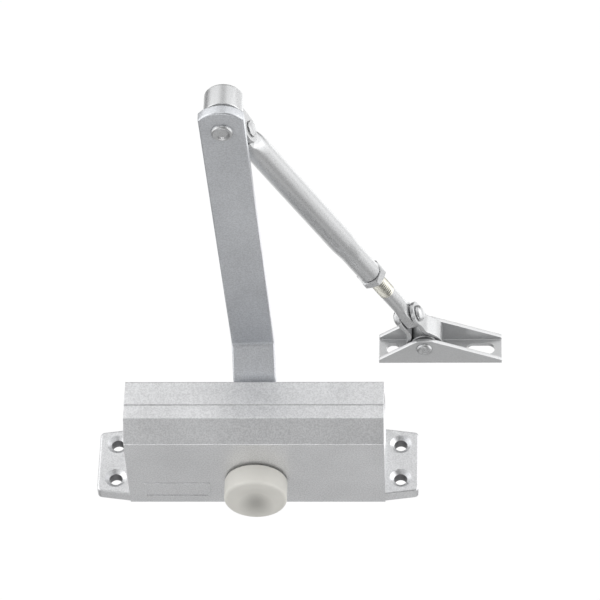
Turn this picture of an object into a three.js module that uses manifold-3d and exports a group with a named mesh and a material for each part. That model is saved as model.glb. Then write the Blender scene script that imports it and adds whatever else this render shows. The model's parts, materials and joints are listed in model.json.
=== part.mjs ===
// A small overhead door closer: rack-and-pinion body, cranked main arm, adjustable forearm and foot bracket.
//
// Frame, in millimetres: the origin is the middle of the body's door-side face. +X runs along the body,
// +Y points into the door, +Z is up, along the pinion. The body's front looks along -Y.

import * as THREE from 'three';
import { mergeVertices } from 'three/addons/utils/BufferGeometryUtils.js';
import Module from 'manifold-3d';

const wasm = await Module();
wasm.setup();

// ----------------------------------------------------------- driving dimensions

const GAP = 0.3; // running and seating clearance between neighbouring pieces
const ROUND = 28; // facets on an ordinary round
const FINE_ROUND = 40; // facets on a large round
const SMALL_ROUND = 20; // facets on a pin or a screw

// body casting
const BODY_LENGTH = 118;
const BODY_DEPTH = 55;
const BODY_HEIGHT = 37.4;
const FRONT_HEIGHT = 20.2; // flat of the front, between the two long chamfers
const LOWER_CHAMFER_DEPTH = 8.6;
const UPPER_CHAMFER_DEPTH = 17;
const BAND_HEIGHT = 5.8; // raised band along the middle of the front
const BAND_RISE = 0.6;

// mounting ears and their screw holes
const EAR_SPAN = 149;
const EAR_THICKNESS = 6.5;
const EAR_TIP_HEIGHT = 32.4;
const EAR_CORNER = 2;
const HOLE_SPACING_X = 132;
const HOLE_SPACING_Z = 19;
const HOLE_RADIUS = 3.05;
const COUNTERSINK_RADIUS = 5.1;
const COUNTERSINK_DEPTH = 1.5;

// cylinder bore, along X
const BORE_Y = -33;
const BORE_RADIUS = 14.1;
const PLUG_BORE_RADIUS = 15.5;
const PLUG_DEPTH = 8;

// pinion and its bore, along Z
const PINION_Y = -17.5;
const PINION_BORE_RADIUS = 8.8;
const PITCH_RADIUS = 6;
const TOOTH_COUNT = 8;
const TOOTH_PITCH = (2 * Math.PI * PITCH_RADIUS) / TOOTH_COUNT;
const ADDENDUM = 1.4;
const DEDENDUM = 1.8;
const GEAR_HALF_WIDTH = 8;
const JOURNAL_RADIUS = 6;
const SQUARE_SIZE = 8.2;
const SHAFT_SHOULDER = 20.2; // half height of the round part of the shaft
const SHAFT_END = 25.2;
const ARM_SCREW_BORE = 2.7;
const GLAND_BORE_RADIUS = 12;
const GLAND_SEAT = 14.8;
const GLAND_FACE = 19.2;

// piston and spring
const PISTON_LEFT = -35;
const PISTON_RIGHT = 17;
const WINDOW_LEFT = -28;
const WINDOW_RIGHT = 10;
const PISTON_RADIUS = BORE_RADIUS - GAP;
const PISTON_FLAT_Y = -26.6; // relief that passes the pinion's bearings
const PISTON_GROOVE_X = -31.5;
const SPRING_WIRE = 1.5;
const SPRING_RADIUS = 10.4;
const SPRING_TURNS = 4.5;

// regulating valves, in the left end face
const VALVE_Y = -10.8;
const VALVE_Z = 9.5;
const VALVE_BORE_RADIUS = 3.1;
const VALVE_LENGTH = 18;

// spindle cap
const CAP_RADIUS = 14.45;
const CAP_TOP = -19.5;
const CAP_BOTTOM = -29.8;

// main arm: a flat bar, cranked upwards
const ARM_WIDTH = 19.6;
const ARM_THICKNESS = 5;
const ARM_LENGTH = 187.65; // pinion to elbow
const ARM_PAD_Z = 20.5; // underside at the pinion
const ARM_REACH_Z = 32.2; // underside of the long part
const CRANK_START = 25.3;
const CRANK_RUN = ARM_REACH_Z - ARM_PAD_Z;
const ARM_TIP_RADIUS = 12.4;
const ARM_ANGLE = THREE.MathUtils.degToRad(2.32); // turned towards -X

// elbow knuckle
const KNUCKLE_RADIUS = 8.5;
const KNUCKLE_BOTTOM = 41;
const KNUCKLE_TOP = 53.1;
const NECK_RADIUS = 6.6;
const ELBOW_RIVET_RADIUS = 4;
const FORK_REACH = 17.5; // elbow axis to cross rivet
const FORK_PIN_Z = 46;
const EAR_RADIUS = 6;
const FORK_INNER = 2.7; // half the slot between the fork's ears
const FORK_OUTER = 4.7;
const CROSS_RIVET_RADIUS = 3;
const FORK_HEAD_RADIUS = 3.7;
const FORK_HEAD_HEIGHT = 0.5;
const SHACKLE_HEAD_RADIUS = 3.9;
const SHACKLE_HEAD_HEIGHT = 2.2;

// foot bracket and shackle
const FOOT_X = 76.9;
const FOOT_Y = -12.2;
const SHACKLE_REACH = 18;
const SHACKLE_PIN_Z = 67.4;
const STRAP_THICKNESS = 2;
const STRAP_LOW = 62.9;
const STRAP_HIGH = 73.3;
const STRAP_WRAP_RADIUS = 8.6;
const STRAP_INNER = 2.8;
const STRAP_EAR_RADIUS = 5.8;
const STRAP_STRAIGHT = 9.5; // length of the parallel ears behind the cross rivet
const BRACKET_LEFT = 55.2;
const BRACKET_RIGHT = 113.5;
const BRACKET_LOW = 60.3;
const BRACKET_HIGH = 75.6;
const BRACKET_SHEET = 2;
const BRACKET_REACH = 17.8;
const BRACKET_TIP = 3.2;
const SLOT_WIDTH = 6.2;
const SLOT_Z = 68;
const RIGHT_SLOT = [96.9, 110.2];
const LEFT_SLOT = [58.7, 65.4];
const FOOT_RIVET_RADIUS = 2.6;

// forearm: tube, lock nut and threaded rod, measured from the elbow's cross rivet
const TUBE_START = 8;
const TUBE_RADIUS = 5.9;
const SWAGE_START = 99;
const SWAGE_END = 113;
const NECK_TUBE_RADIUS = 5.3;
const TUBE_END = 131.5;
const TUBE_WALL = 1.1;
const TONGUE_THICKNESS = 4.8;
const TONGUE_RADIUS = 5.2;
const NUT_THICKNESS = 4.3;
const NUT_FLATS = 11.6;
const ROD_RADIUS = 3.8;
const ROD_START = 88;
const ROD_SHOULDER = 168;
const ROD_TONGUE = 4.9;
const ROD_TONGUE_RADIUS = 4.6;
const ROD_OVERHANG = 2.6; // from the shackle's rivet to the middle of the tongue's round end

// places worked out from the dimensions above
const ELBOW_X = -ARM_LENGTH * Math.sin(ARM_ANGLE);
const ELBOW_Y = PINION_Y - ARM_LENGTH * Math.cos(ARM_ANGLE);
const REACH_PLAN = Math.hypot(FOOT_X - ELBOW_X, FOOT_Y - ELBOW_Y);
const FOREARM_ANGLE = Math.atan2(FOOT_X - ELBOW_X, FOOT_Y - ELBOW_Y); // from +Y towards +X
const FOREARM_PLAN = REACH_PLAN - FORK_REACH - SHACKLE_REACH;
const FOREARM_RISE = SHACKLE_PIN_Z - FORK_PIN_Z;
const FOREARM_LENGTH = Math.hypot(FOREARM_PLAN, FOREARM_RISE);
const FOREARM_SLOPE = Math.atan2(FOREARM_RISE, FOREARM_PLAN);

// ----------------------------------------------------------- materials

function material(color, roughness, metalness) {
  return new THREE.MeshStandardMaterial({ color, roughness, metalness });
}

const silverPaint = () => material(0xc9cbcc, 0.45, 0.55);
const zincSteel = () => material(0xd2d3cf, 0.3, 0.9);
const darkSteel = () => material(0x6f7275, 0.4, 0.9);
const bronze = () => material(0xb08a4c, 0.45, 0.8);
const blackRubber = () => material(0x1c1c1e, 0.8, 0);
const ivoryPlastic = () => material(0xd6d4cd, 0.5, 0);

// ----------------------------------------------------------- solids

const UP = new THREE.Vector3(0, 1, 0);

function signedVolume(geometry) {
  const points = geometry.attributes.position;
  const order = geometry.index.array;
  const [a, b, c] = [new THREE.Vector3(), new THREE.Vector3(), new THREE.Vector3()];
  let volume = 0;
  for (let i = 0; i < order.length; i += 3) {
    a.fromBufferAttribute(points, order[i]);
    b.fromBufferAttribute(points, order[i + 1]);
    c.fromBufferAttribute(points, order[i + 2]);
    volume += a.dot(b.cross(c));
  }
  return volume;
}

// Turns a closed three.js geometry into a solid, with its faces pointing out.
function solid(source) {
  const open = source.clone();
  open.deleteAttribute('normal');
  open.deleteAttribute('uv');
  const geometry = mergeVertices(open, 1e-4);
  const order = Array.from(geometry.index.array);
  if (signedVolume(geometry) < 0) {
    order.reverse();
  }
  const positions = geometry.attributes.position.array;
  const clean = [];
  for (let i = 0; i < order.length; i += 3) {
    const [a, b, c] = order.slice(i, i + 3);
    if (a !== b && b !== c && c !== a) {
      clean.push(a, b, c);
    }
  }
  const mesh = new wasm.Mesh({
    numProp: 3,
    vertProperties: new Float32Array(positions),
    triVerts: new Uint32Array(clean),
  });
  return new wasm.Manifold(mesh);
}

function geometryOf(body) {
  const mesh = body.getMesh();
  const geometry = new THREE.BufferGeometry();
  geometry.setAttribute('position', new THREE.BufferAttribute(new Float32Array(mesh.vertProperties), 3));
  geometry.setIndex(new THREE.BufferAttribute(new Uint32Array(mesh.triVerts), 1));
  return geometry;
}

const join = (first, ...others) => others.reduce((sum, next) => sum.add(next), first);
const cut = (first, ...others) => others.reduce((rest, next) => rest.subtract(next), first);

// Axes of the three extrusion directions: a drawing's x and y, and the way it is extruded.
const ALONG_X = new THREE.Matrix4().makeBasis(UP, new THREE.Vector3(0, 0, 1), new THREE.Vector3(1, 0, 0));
const ALONG_MINUS_Y = new THREE.Matrix4().makeBasis(
  new THREE.Vector3(1, 0, 0),
  new THREE.Vector3(0, 0, 1),
  new THREE.Vector3(0, -1, 0),
);
const ALONG_Z = new THREE.Matrix4();

function prism(shape, from, to, direction = ALONG_Z, curveSegments = 6) {
  const settings = { depth: to - from, bevelEnabled: false, curveSegments };
  const geometry = new THREE.ExtrudeGeometry(shape, settings);
  geometry.translate(0, 0, from);
  geometry.applyMatrix4(direction);
  return solid(geometry);
}

function polygon(points) {
  return new THREE.Shape(points.map(([x, y]) => new THREE.Vector2(x, y)));
}

function box(sizeX, sizeY, sizeZ, x = 0, y = 0, z = 0) {
  return solid(new THREE.BoxGeometry(sizeX, sizeY, sizeZ).translate(x, y, z));
}

// A body of revolution about Z through (x, y), from [radius, height] points.
function turned(profile, x = 0, y = 0, segments = ROUND) {
  const points = profile.map(([radius, height]) => new THREE.Vector2(radius, height));
  const geometry = new THREE.LatheGeometry(points, segments);
  geometry.rotateX(Math.PI / 2);
  geometry.translate(x, y, 0);
  return solid(geometry);
}

// The same about X through (y, z), with the profile's heights as X.
function turnedAlongX(profile, y = 0, z = 0, segments = ROUND) {
  const points = profile.map(([radius, height]) => new THREE.Vector2(radius, height));
  const geometry = new THREE.LatheGeometry(points, segments);
  geometry.rotateZ(-Math.PI / 2);
  geometry.translate(0, y, z);
  return solid(geometry);
}

function disc(radius, low, high, x = 0, y = 0, segments = ROUND) {
  return turned([[0, low], [radius, low], [radius, high], [0, high]], x, y, segments);
}

function discAlongX(radius, left, right, y = 0, z = 0, segments = ROUND) {
  return turnedAlongX([[0, left], [radius, left], [radius, right], [0, right]], y, z, segments);
}

function ring(outer, inner, low, high, x = 0, y = 0, segments = ROUND) {
  return turned([[inner, low], [outer, low], [outer, high], [inner, high], [inner, low]], x, y, segments);
}

// A ring seal's section, a hexagon, as a profile about its axis.
function sealProfile(middle, thickness, height) {
  const profile = [];
  for (let i = 0; i <= 6; i += 1) {
    const angle = (i / 6) * 2 * Math.PI;
    profile.push([middle + thickness * Math.cos(angle), height + thickness * Math.sin(angle)]);
  }
  profile[6] = [...profile[0]];
  return profile;
}

// ----------------------------------------------------------- assembly

const closer = new THREE.Group();

function add(parent, name, body, look) {
  const mesh = new THREE.Mesh(geometryOf(body), look);
  mesh.name = name;
  parent.add(mesh);
  return mesh;
}

// ----------------------------------------------------------- body casting

function bodySection() {
  const half = BODY_HEIGHT / 2;
  const front = FRONT_HEIGHT / 2;
  const band = BAND_HEIGHT / 2;
  return polygon([
    [0, half],
    [UPPER_CHAMFER_DEPTH - BODY_DEPTH, half],
    [-BODY_DEPTH, front],
    [-BODY_DEPTH, band],
    [-BODY_DEPTH - BAND_RISE, band],
    [-BODY_DEPTH - BAND_RISE, -band],
    [-BODY_DEPTH, -band],
    [-BODY_DEPTH, -front],
    [LOWER_CHAMFER_DEPTH - BODY_DEPTH, -half],
    [0, -half],
  ]);
}

function earPlate() {
  const shape = new THREE.Shape();
  const tip = EAR_SPAN / 2;
  const root = BODY_LENGTH / 2;
  const rootHalf = BODY_HEIGHT / 2 - GAP;
  const tipHalf = EAR_TIP_HEIGHT / 2;
  shape.moveTo(-root, -rootHalf);
  shape.lineTo(root, -rootHalf);
  shape.lineTo(tip - EAR_CORNER, -tipHalf);
  shape.quadraticCurveTo(tip, -tipHalf, tip, EAR_CORNER - tipHalf);
  shape.lineTo(tip, tipHalf - EAR_CORNER);
  shape.quadraticCurveTo(tip, tipHalf, tip - EAR_CORNER, tipHalf);
  shape.lineTo(root, rootHalf);
  shape.lineTo(-root, rootHalf);
  shape.lineTo(EAR_CORNER - tip, tipHalf);
  shape.quadraticCurveTo(-tip, tipHalf, -tip, tipHalf - EAR_CORNER);
  shape.lineTo(-tip, EAR_CORNER - tipHalf);
  shape.quadraticCurveTo(-tip, -tipHalf, EAR_CORNER - tip, -tipHalf);
  shape.lineTo(-root, -rootHalf);
  return shape;
}

// One countersunk screw hole, drilled along Y.
function screwHole(x, z) {
  const slack = 1;
  const profile = [
    [0, -slack],
    [HOLE_RADIUS, -slack],
    [HOLE_RADIUS, EAR_THICKNESS - COUNTERSINK_DEPTH],
    [COUNTERSINK_RADIUS, EAR_THICKNESS],
    [COUNTERSINK_RADIUS, EAR_THICKNESS + slack],
    [0, EAR_THICKNESS + slack],
  ];
  const points = profile.map(([radius, height]) => new THREE.Vector2(radius, height));
  const geometry = new THREE.LatheGeometry(points, SMALL_ROUND);
  geometry.rotateX(Math.PI);
  geometry.translate(x, 0, z);
  return solid(geometry);
}

function bodyCasting() {
  const end = BODY_LENGTH / 2;
  const half = BODY_HEIGHT / 2;
  let casting = join(
    prism(bodySection(), -end, end, ALONG_X),
    prism(earPlate(), 0, EAR_THICKNESS, ALONG_MINUS_Y, 4),
  );
  casting = cut(
    casting,
    discAlongX(BORE_RADIUS, -end - 1, end + 1, BORE_Y, 0, FINE_ROUND),
    disc(PINION_BORE_RADIUS, -half - 1, half + 1, 0, PINION_Y, FINE_ROUND),
  );
  for (const side of [-1, 1]) {
    const outside = side * (end + 1);
    const seat = side * (end - PLUG_DEPTH);
    const gland = side * GLAND_SEAT;
    const face = side * (half + 1);
    casting = cut(
      casting,
      discAlongX(PLUG_BORE_RADIUS, Math.min(outside, seat), Math.max(outside, seat), BORE_Y, 0, FINE_ROUND),
      disc(GLAND_BORE_RADIUS, Math.min(gland, face), Math.max(gland, face), 0, PINION_Y, FINE_ROUND),
      discAlongX(VALVE_BORE_RADIUS, -end - 1, VALVE_LENGTH + 2 - end, VALVE_Y, side * VALVE_Z, SMALL_ROUND),
      screwHole(-HOLE_SPACING_X / 2, (side * HOLE_SPACING_Z) / 2),
      screwHole(HOLE_SPACING_X / 2, (side * HOLE_SPACING_Z) / 2),
    );
  }
  return casting;
}

add(closer, 'body_casting', bodyCasting(), silverPaint());

// ----------------------------------------------------------- end plugs

// A screwed plug with a hexagon socket and a groove for its seal; side is +1 for the right end.
function endPlug(side) {
  const radius = PLUG_BORE_RADIUS - GAP;
  const groove = radius - 1.9;
  const inner = BODY_LENGTH / 2 - PLUG_DEPTH + GAP;
  const outer = BODY_LENGTH / 2 - 0.4;
  const profile = [
    [0, inner],
    [radius, inner],
    [radius, inner + 1.4],
    [groove, inner + 1.4],
    [groove, inner + 3.8],
    [radius, inner + 3.8],
    [radius, outer - 0.6],
    [radius - 0.6, outer],
    [0, outer],
  ];
  const socketDepth = 4.2;
  const socket = new THREE.CylinderGeometry(5.8, 5.8, socketDepth, 6).rotateZ(Math.PI / 2);
  socket.translate(outer - socketDepth / 2 + 0.5, BORE_Y, 0);
  const plug = cut(turnedAlongX(profile, BORE_Y), solid(socket));
  return side > 0 ? plug : plug.mirror([1, 0, 0]);
}

function plugSeal(side) {
  const middle = PLUG_BORE_RADIUS - GAP - 0.8;
  const height = side * (BODY_LENGTH / 2 - PLUG_DEPTH + GAP + 2.6);
  return turnedAlongX(sealProfile(middle, 0.8, height), BORE_Y);
}

for (const [place, side] of [['left', -1], ['right', 1]]) {
  add(closer, `${place}_end_plug`, endPlug(side), silverPaint());
  add(closer, `${place}_plug_seal`, plugSeal(side), blackRubber());
}

// ----------------------------------------------------------- regulating valves

// A slotted needle screw, with a groove for its seal.
function valveScrew(z) {
  const radius = VALVE_BORE_RADIUS - GAP;
  const head = 0.8 - BODY_LENGTH / 2;
  const profile = [
    [0, head],
    [radius, head],
    [radius, head + 5],
    [radius - 1.3, head + 5],
    [radius - 1.3, head + 7],
    [radius, head + 7],
    [radius, head + VALVE_LENGTH - 5],
    [0, head + VALVE_LENGTH],
  ];
  const slot = box(1.6, 1, 2 * radius + 1, head + 0.4, VALVE_Y, z);
  return cut(turnedAlongX(profile, VALVE_Y, z, SMALL_ROUND), slot);
}

function valveSeal(z) {
  const height = 0.8 - BODY_LENGTH / 2 + 6;
  return turnedAlongX(sealProfile(VALVE_BORE_RADIUS - GAP - 0.5, 0.5, height), VALVE_Y, z, SMALL_ROUND);
}

for (const [name, side] of [['closing', 1], ['latching', -1]]) {
  add(closer, `${name}_valve_screw`, valveScrew(side * VALVE_Z), zincSteel());
  add(closer, `${name}_valve_seal`, valveSeal(side * VALVE_Z), blackRubber());
}

// ----------------------------------------------------------- pinion shaft

// Angle 0 is the -Y direction, where the rack is; a tooth space faces the rack at rest.
function gearOutline() {
  const root = PITCH_RADIUS - DEDENDUM;
  const tip = PITCH_RADIUS + ADDENDUM;
  const step = (2 * Math.PI) / TOOTH_COUNT;
  const tooth = [
    [-0.31, root],
    [-0.21, PITCH_RADIUS],
    [-0.09, tip],
    [0.09, tip],
    [0.21, PITCH_RADIUS],
    [0.31, root],
  ];
  const points = [];
  for (let i = 0; i < TOOTH_COUNT; i += 1) {
    for (const [turn, radius] of tooth) {
      const angle = (i + 0.5 + turn) * step - Math.PI / 2;
      points.push([radius * Math.cos(angle), radius * Math.sin(angle)]);
    }
  }
  return polygon(points);
}

function pinionShaft() {
  const gear = prism(gearOutline(), -GEAR_HALF_WIDTH, GEAR_HALF_WIDTH);
  const waist = GEAR_HALF_WIDTH + 1; // plain neck between the gear and each journal
  const squareLength = SHAFT_END - SHAFT_SHOULDER + 2;
  const squareMiddle = SHAFT_END - squareLength / 2;
  const shaft = join(
    gear,
    disc(PITCH_RADIUS - DEDENDUM, -waist, waist, 0, 0, SMALL_ROUND),
    disc(JOURNAL_RADIUS, waist, SHAFT_SHOULDER),
    disc(JOURNAL_RADIUS, -SHAFT_SHOULDER, -waist),
    box(SQUARE_SIZE, SQUARE_SIZE, squareLength, 0, 0, squareMiddle),
    box(SQUARE_SIZE, SQUARE_SIZE, squareLength, 0, 0, -squareMiddle),
  );
  const tapped = disc(ARM_SCREW_BORE, SHAFT_END - 11, SHAFT_END + 1, 0, 0, SMALL_ROUND);
  return cut(shaft, tapped).translate([0, PINION_Y, 0]);
}

add(closer, 'pinion_shaft', pinionShaft(), darkSteel());

for (const [place, side] of [['lower', -1], ['upper', 1]]) {
  const bearing = ring(PINION_BORE_RADIUS - GAP, JOURNAL_RADIUS + GAP, 9.3, GLAND_SEAT - GAP, 0, PINION_Y);
  const seal = turned(sealProfile(JOURNAL_RADIUS + 1.6, 1.2, 16.4), 0, PINION_Y);
  const outer = GLAND_BORE_RADIUS - GAP;
  const pocket = JOURNAL_RADIUS + 3.3;
  const lip = JOURNAL_RADIUS + 0.5;
  const floor = GLAND_SEAT + GAP;
  const ceiling = GLAND_FACE - 1.3;
  const gland = turned(
    [
      [pocket, floor],
      [outer, floor],
      [outer, GLAND_FACE],
      [lip, GLAND_FACE],
      [lip, ceiling],
      [pocket, ceiling],
      [pocket, floor],
    ],
    0,
    PINION_Y,
  );
  const placed = (body) => (side > 0 ? body : body.mirror([0, 0, 1]));
  add(closer, `${place}_bearing`, placed(bearing), bronze());
  add(closer, `${place}_shaft_seal`, placed(seal), blackRubber());
  add(closer, `${place}_gland_nut`, placed(gland), zincSteel());
}

// ----------------------------------------------------------- piston, check valve and spring

function rackOutline() {
  const pitchLine = PINION_Y - PITCH_RADIUS;
  const root = pitchLine - DEDENDUM;
  const tip = pitchLine + ADDENDUM;
  const points = [[WINDOW_LEFT + 1, PISTON_FLAT_Y - 2]];
  const first = Math.ceil((WINDOW_LEFT + 3) / TOOTH_PITCH);
  const last = Math.floor((WINDOW_RIGHT - 3) / TOOTH_PITCH);
  points.push([WINDOW_LEFT + 1, root]);
  for (let i = first; i <= last; i += 1) {
    const middle = i * TOOTH_PITCH;
    points.push([middle - 0.3 * TOOTH_PITCH, root]);
    points.push([middle - 0.1 * TOOTH_PITCH, tip]);
    points.push([middle + 0.1 * TOOTH_PITCH, tip]);
    points.push([middle + 0.3 * TOOTH_PITCH, root]);
  }
  points.push([WINDOW_RIGHT - 1, root]);
  points.push([WINDOW_RIGHT - 1, PISTON_FLAT_Y - 2]);
  return polygon(points.reverse());
}

function piston() {
  const barrel = turnedAlongX(
    [
      [0, PISTON_LEFT],
      [PISTON_RADIUS - 0.8, PISTON_LEFT],
      [PISTON_RADIUS, PISTON_LEFT + 0.8],
      [PISTON_RADIUS, PISTON_GROOVE_X - 1],
      [PISTON_RADIUS - 1.6, PISTON_GROOVE_X - 1],
      [PISTON_RADIUS - 1.6, PISTON_GROOVE_X + 1],
      [PISTON_RADIUS, PISTON_GROOVE_X + 1],
      [PISTON_RADIUS, PISTON_RIGHT],
      [0, PISTON_RIGHT],
    ],
    BORE_Y,
    0,
    FINE_ROUND,
  );
  const window = box(
    WINDOW_RIGHT - WINDOW_LEFT,
    20,
    40,
    (WINDOW_LEFT + WINDOW_RIGHT) / 2,
    PISTON_FLAT_Y + 10,
  );
  const springSeat = discAlongX(PISTON_RADIUS - 1.5, PISTON_RIGHT - 4, PISTON_RIGHT + 1, BORE_Y);
  const springPost = discAlongX(6.5, PISTON_RIGHT - 5, PISTON_RIGHT - 0.5, BORE_Y, 0, SMALL_ROUND);
  const ballBore = discAlongX(2.4, PISTON_LEFT - 1, PISTON_LEFT + 5, BORE_Y, 0, SMALL_ROUND);
  const oilWay = discAlongX(1, PISTON_LEFT - 1, PISTON_RIGHT + 1, BORE_Y, 0, 8);
  const head = join(cut(barrel, window, springSeat), springPost);
  return join(cut(head, ballBore, oilWay), prism(rackOutline(), -GEAR_HALF_WIDTH, GEAR_HALF_WIDTH));
}

add(closer, 'piston', piston(), darkSteel());
const pistonRing = turnedAlongX(
  [
    [PISTON_RADIUS - 1.2, PISTON_GROOVE_X - 0.7],
    [PISTON_RADIUS, PISTON_GROOVE_X - 0.7],
    [PISTON_RADIUS, PISTON_GROOVE_X + 0.7],
    [PISTON_RADIUS - 1.2, PISTON_GROOVE_X + 0.7],
    [PISTON_RADIUS - 1.2, PISTON_GROOVE_X - 0.7],
  ],
  BORE_Y,
);
add(closer, 'piston_ring', pistonRing, blackRubber());
const ball = new THREE.SphereGeometry(1.6, 10, 6).translate(PISTON_LEFT + 3.2, BORE_Y, 0);
add(closer, 'check_valve_ball', solid(ball), zincSteel());
const retainer = turnedAlongX(
  [
    [0.8, PISTON_LEFT + 0.1],
    [2.1, PISTON_LEFT + 0.1],
    [2.1, PISTON_LEFT + 0.9],
    [0.8, PISTON_LEFT + 0.9],
    [0.8, PISTON_LEFT + 0.1],
  ],
  BORE_Y,
  0,
  SMALL_ROUND,
);
add(closer, 'check_valve_retainer', retainer, bronze());

class Helix extends THREE.Curve {
  constructor(left, right, radius, turns) {
    super();
    Object.assign(this, { left, right, radius, turns });
  }

  getPoint(t, target = new THREE.Vector3()) {
    const angle = t * this.turns * 2 * Math.PI;
    const x = this.left + t * (this.right - this.left);
    return target.set(x, BORE_Y + this.radius * Math.cos(angle), this.radius * Math.sin(angle));
  }
}

function mainSpring() {
  const left = PISTON_RIGHT - 4 + GAP + SPRING_WIRE;
  const right = BODY_LENGTH / 2 - PLUG_DEPTH - SPRING_WIRE - GAP;
  const section = new THREE.Shape();
  section.absarc(0, 0, SPRING_WIRE, 0, 2 * Math.PI);
  const path = new Helix(left, right, SPRING_RADIUS, SPRING_TURNS);
  const steps = Math.round(SPRING_TURNS * 14);
  return solid(new THREE.ExtrudeGeometry(section, { steps, extrudePath: path, curveSegments: 3 }));
}

add(closer, 'main_spring', mainSpring(), darkSteel());

// ----------------------------------------------------------- spindle cap

function spindleCap() {
  const edge = 1.4;
  const dimpleRadius = 10.4;
  const dimpleDepth = 2.6;
  const outer = turned(
    [
      [0, CAP_TOP],
      [CAP_RADIUS - 0.4, CAP_TOP],
      [CAP_RADIUS, CAP_TOP - 0.4],
      [CAP_RADIUS, CAP_BOTTOM + edge],
      [CAP_RADIUS - 0.3 * edge, CAP_BOTTOM + 0.3 * edge],
      [CAP_RADIUS - edge, CAP_BOTTOM],
      [dimpleRadius, CAP_BOTTOM],
      [0.8 * dimpleRadius, CAP_BOTTOM + 0.2 * dimpleDepth],
      [0.35 * dimpleRadius, CAP_BOTTOM + 0.86 * dimpleDepth],
      [0, CAP_BOTTOM + dimpleDepth],
    ],
    0,
    PINION_Y,
    FINE_ROUND,
  );
  const cavity = ring(CAP_RADIUS - 2.2, 7.6, CAP_TOP - 7, CAP_TOP + 1, 0, PINION_Y);
  const recess = disc(CAP_RADIUS - 2.2, CAP_TOP - 0.7, CAP_TOP + 1, 0, PINION_Y);
  const socketSize = SQUARE_SIZE + 2 * GAP;
  const socket = box(socketSize, socketSize, 8, 0, PINION_Y, CAP_TOP - 2.2);
  const shoulder = disc(JOURNAL_RADIUS + GAP, -SHAFT_SHOULDER - GAP, CAP_TOP + 1, 0, PINION_Y);
  return cut(outer, cavity, recess, socket, shoulder);
}

add(closer, 'spindle_cap', spindleCap(), ivoryPlastic());

// ----------------------------------------------------------- main arm, about the pinion axis, along -Y

const armGroup = new THREE.Group();
armGroup.position.set(0, PINION_Y, 0);
armGroup.rotation.z = -ARM_ANGLE;
closer.add(armGroup);

// Side view of the cranked bar: x is the distance from the pinion, y the height.
function armProfile() {
  const bend = 3; // distance over which each bend is rounded
  const rise = CRANK_RUN;
  const drift = ARM_THICKNESS * Math.tan(Math.PI / 8);
  const tail = -ARM_WIDTH;
  const tip = ARM_LENGTH + ARM_TIP_RADIUS + 5;
  const diagonal = bend * Math.SQRT1_2;
  const shape = new THREE.Shape();
  const low = ARM_PAD_Z;
  const high = ARM_REACH_Z;
  const topLow = low + ARM_THICKNESS;
  const topHigh = high + ARM_THICKNESS;
  shape.moveTo(tail, low);
  shape.lineTo(CRANK_START - bend, low);
  shape.quadraticCurveTo(CRANK_START, low, CRANK_START + diagonal, low + diagonal);
  shape.lineTo(CRANK_START + rise - diagonal, high - diagonal);
  shape.quadraticCurveTo(CRANK_START + rise, high, CRANK_START + rise + bend, high);
  shape.lineTo(tip, high);
  shape.lineTo(tip, topHigh);
  shape.lineTo(CRANK_START + rise - drift + bend, topHigh);
  shape.quadraticCurveTo(
    CRANK_START + rise - drift,
    topHigh,
    CRANK_START + rise - drift - diagonal,
    topHigh - diagonal,
  );
  shape.lineTo(CRANK_START - drift + diagonal, topLow + diagonal);
  shape.quadraticCurveTo(CRANK_START - drift, topLow, CRANK_START - drift - bend, topLow);
  shape.lineTo(tail, topLow);
  return shape;
}

// Plan of the bar, with a round tail and a wide round tip: x across, y along, towards -Y.
function armPlan() {
  const half = ARM_WIDTH / 2;
  const tipStart = Math.acos(half / ARM_TIP_RADIUS);
  const shape = new THREE.Shape();
  shape.absarc(0, 0, half, 0, Math.PI);
  shape.absarc(0, -ARM_LENGTH, ARM_TIP_RADIUS, Math.PI + tipStart, 2 * Math.PI - tipStart);
  return shape;
}

function mainArm() {
  const alongMinusY = new THREE.Matrix4().makeBasis(
    new THREE.Vector3(0, -1, 0),
    new THREE.Vector3(0, 0, 1),
    new THREE.Vector3(-1, 0, 0),
  );
  const bar = prism(armProfile(), -ARM_WIDTH / 2 - 1, ARM_WIDTH / 2 + 1, alongMinusY, 4);
  const plan = prism(armPlan(), 0, 60, ALONG_Z, 8);
  const hole = SQUARE_SIZE + 2 * GAP;
  return cut(
    bar.intersect(plan),
    box(hole, hole, 20, 0, 0, ARM_PAD_Z),
    disc(ELBOW_RIVET_RADIUS + GAP, ARM_REACH_Z - 2, ARM_REACH_Z + ARM_THICKNESS + 2, 0, -ARM_LENGTH),
  );
}

add(armGroup, 'main_arm', mainArm(), silverPaint());

const padTop = ARM_PAD_Z + ARM_THICKNESS;
add(armGroup, 'arm_washer', ring(6.6, 2.9, padTop + GAP, padTop + GAP + 1.2), zincSteel());

function armScrew() {
  const seat = padTop + 2 * GAP + 1.2;
  const top = seat + 3.6;
  const body = turned([
    [0, SHAFT_END - 9],
    [2.4, SHAFT_END - 9],
    [2.4, seat],
    [4.8, seat],
    [4.8, top - 1],
    [4, top],
    [0, top],
  ]);
  const socket = new THREE.CylinderGeometry(2.4, 2.4, 5, 6).rotateX(Math.PI / 2).translate(0, 0, top);
  return cut(body, solid(socket));
}

add(armGroup, 'arm_screw', armScrew(), zincSteel());

// The elbow rivet: its rolled head shows under the arm, its shank runs up inside the knuckle.
function elbowRivet() {
  const seat = ARM_REACH_Z - GAP;
  return turned([
    [0, seat - 0.4],
    [2.7, seat - 0.4],
    [3.4, seat - 1.2],
    [4.3, seat - 1.1],
    [4.8, seat - 0.5],
    [4.8, seat],
    [ELBOW_RIVET_RADIUS, seat],
    [ELBOW_RIVET_RADIUS, KNUCKLE_TOP - 5],
    [0, KNUCKLE_TOP - 5],
  ]);
}

const elbowOnArm = elbowRivet().translate([0, -ARM_LENGTH, 0]);
add(armGroup, 'elbow_rivet', elbowOnArm, silverPaint());

// ----------------------------------------------------------- elbow knuckle, along the forearm's plan

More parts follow.
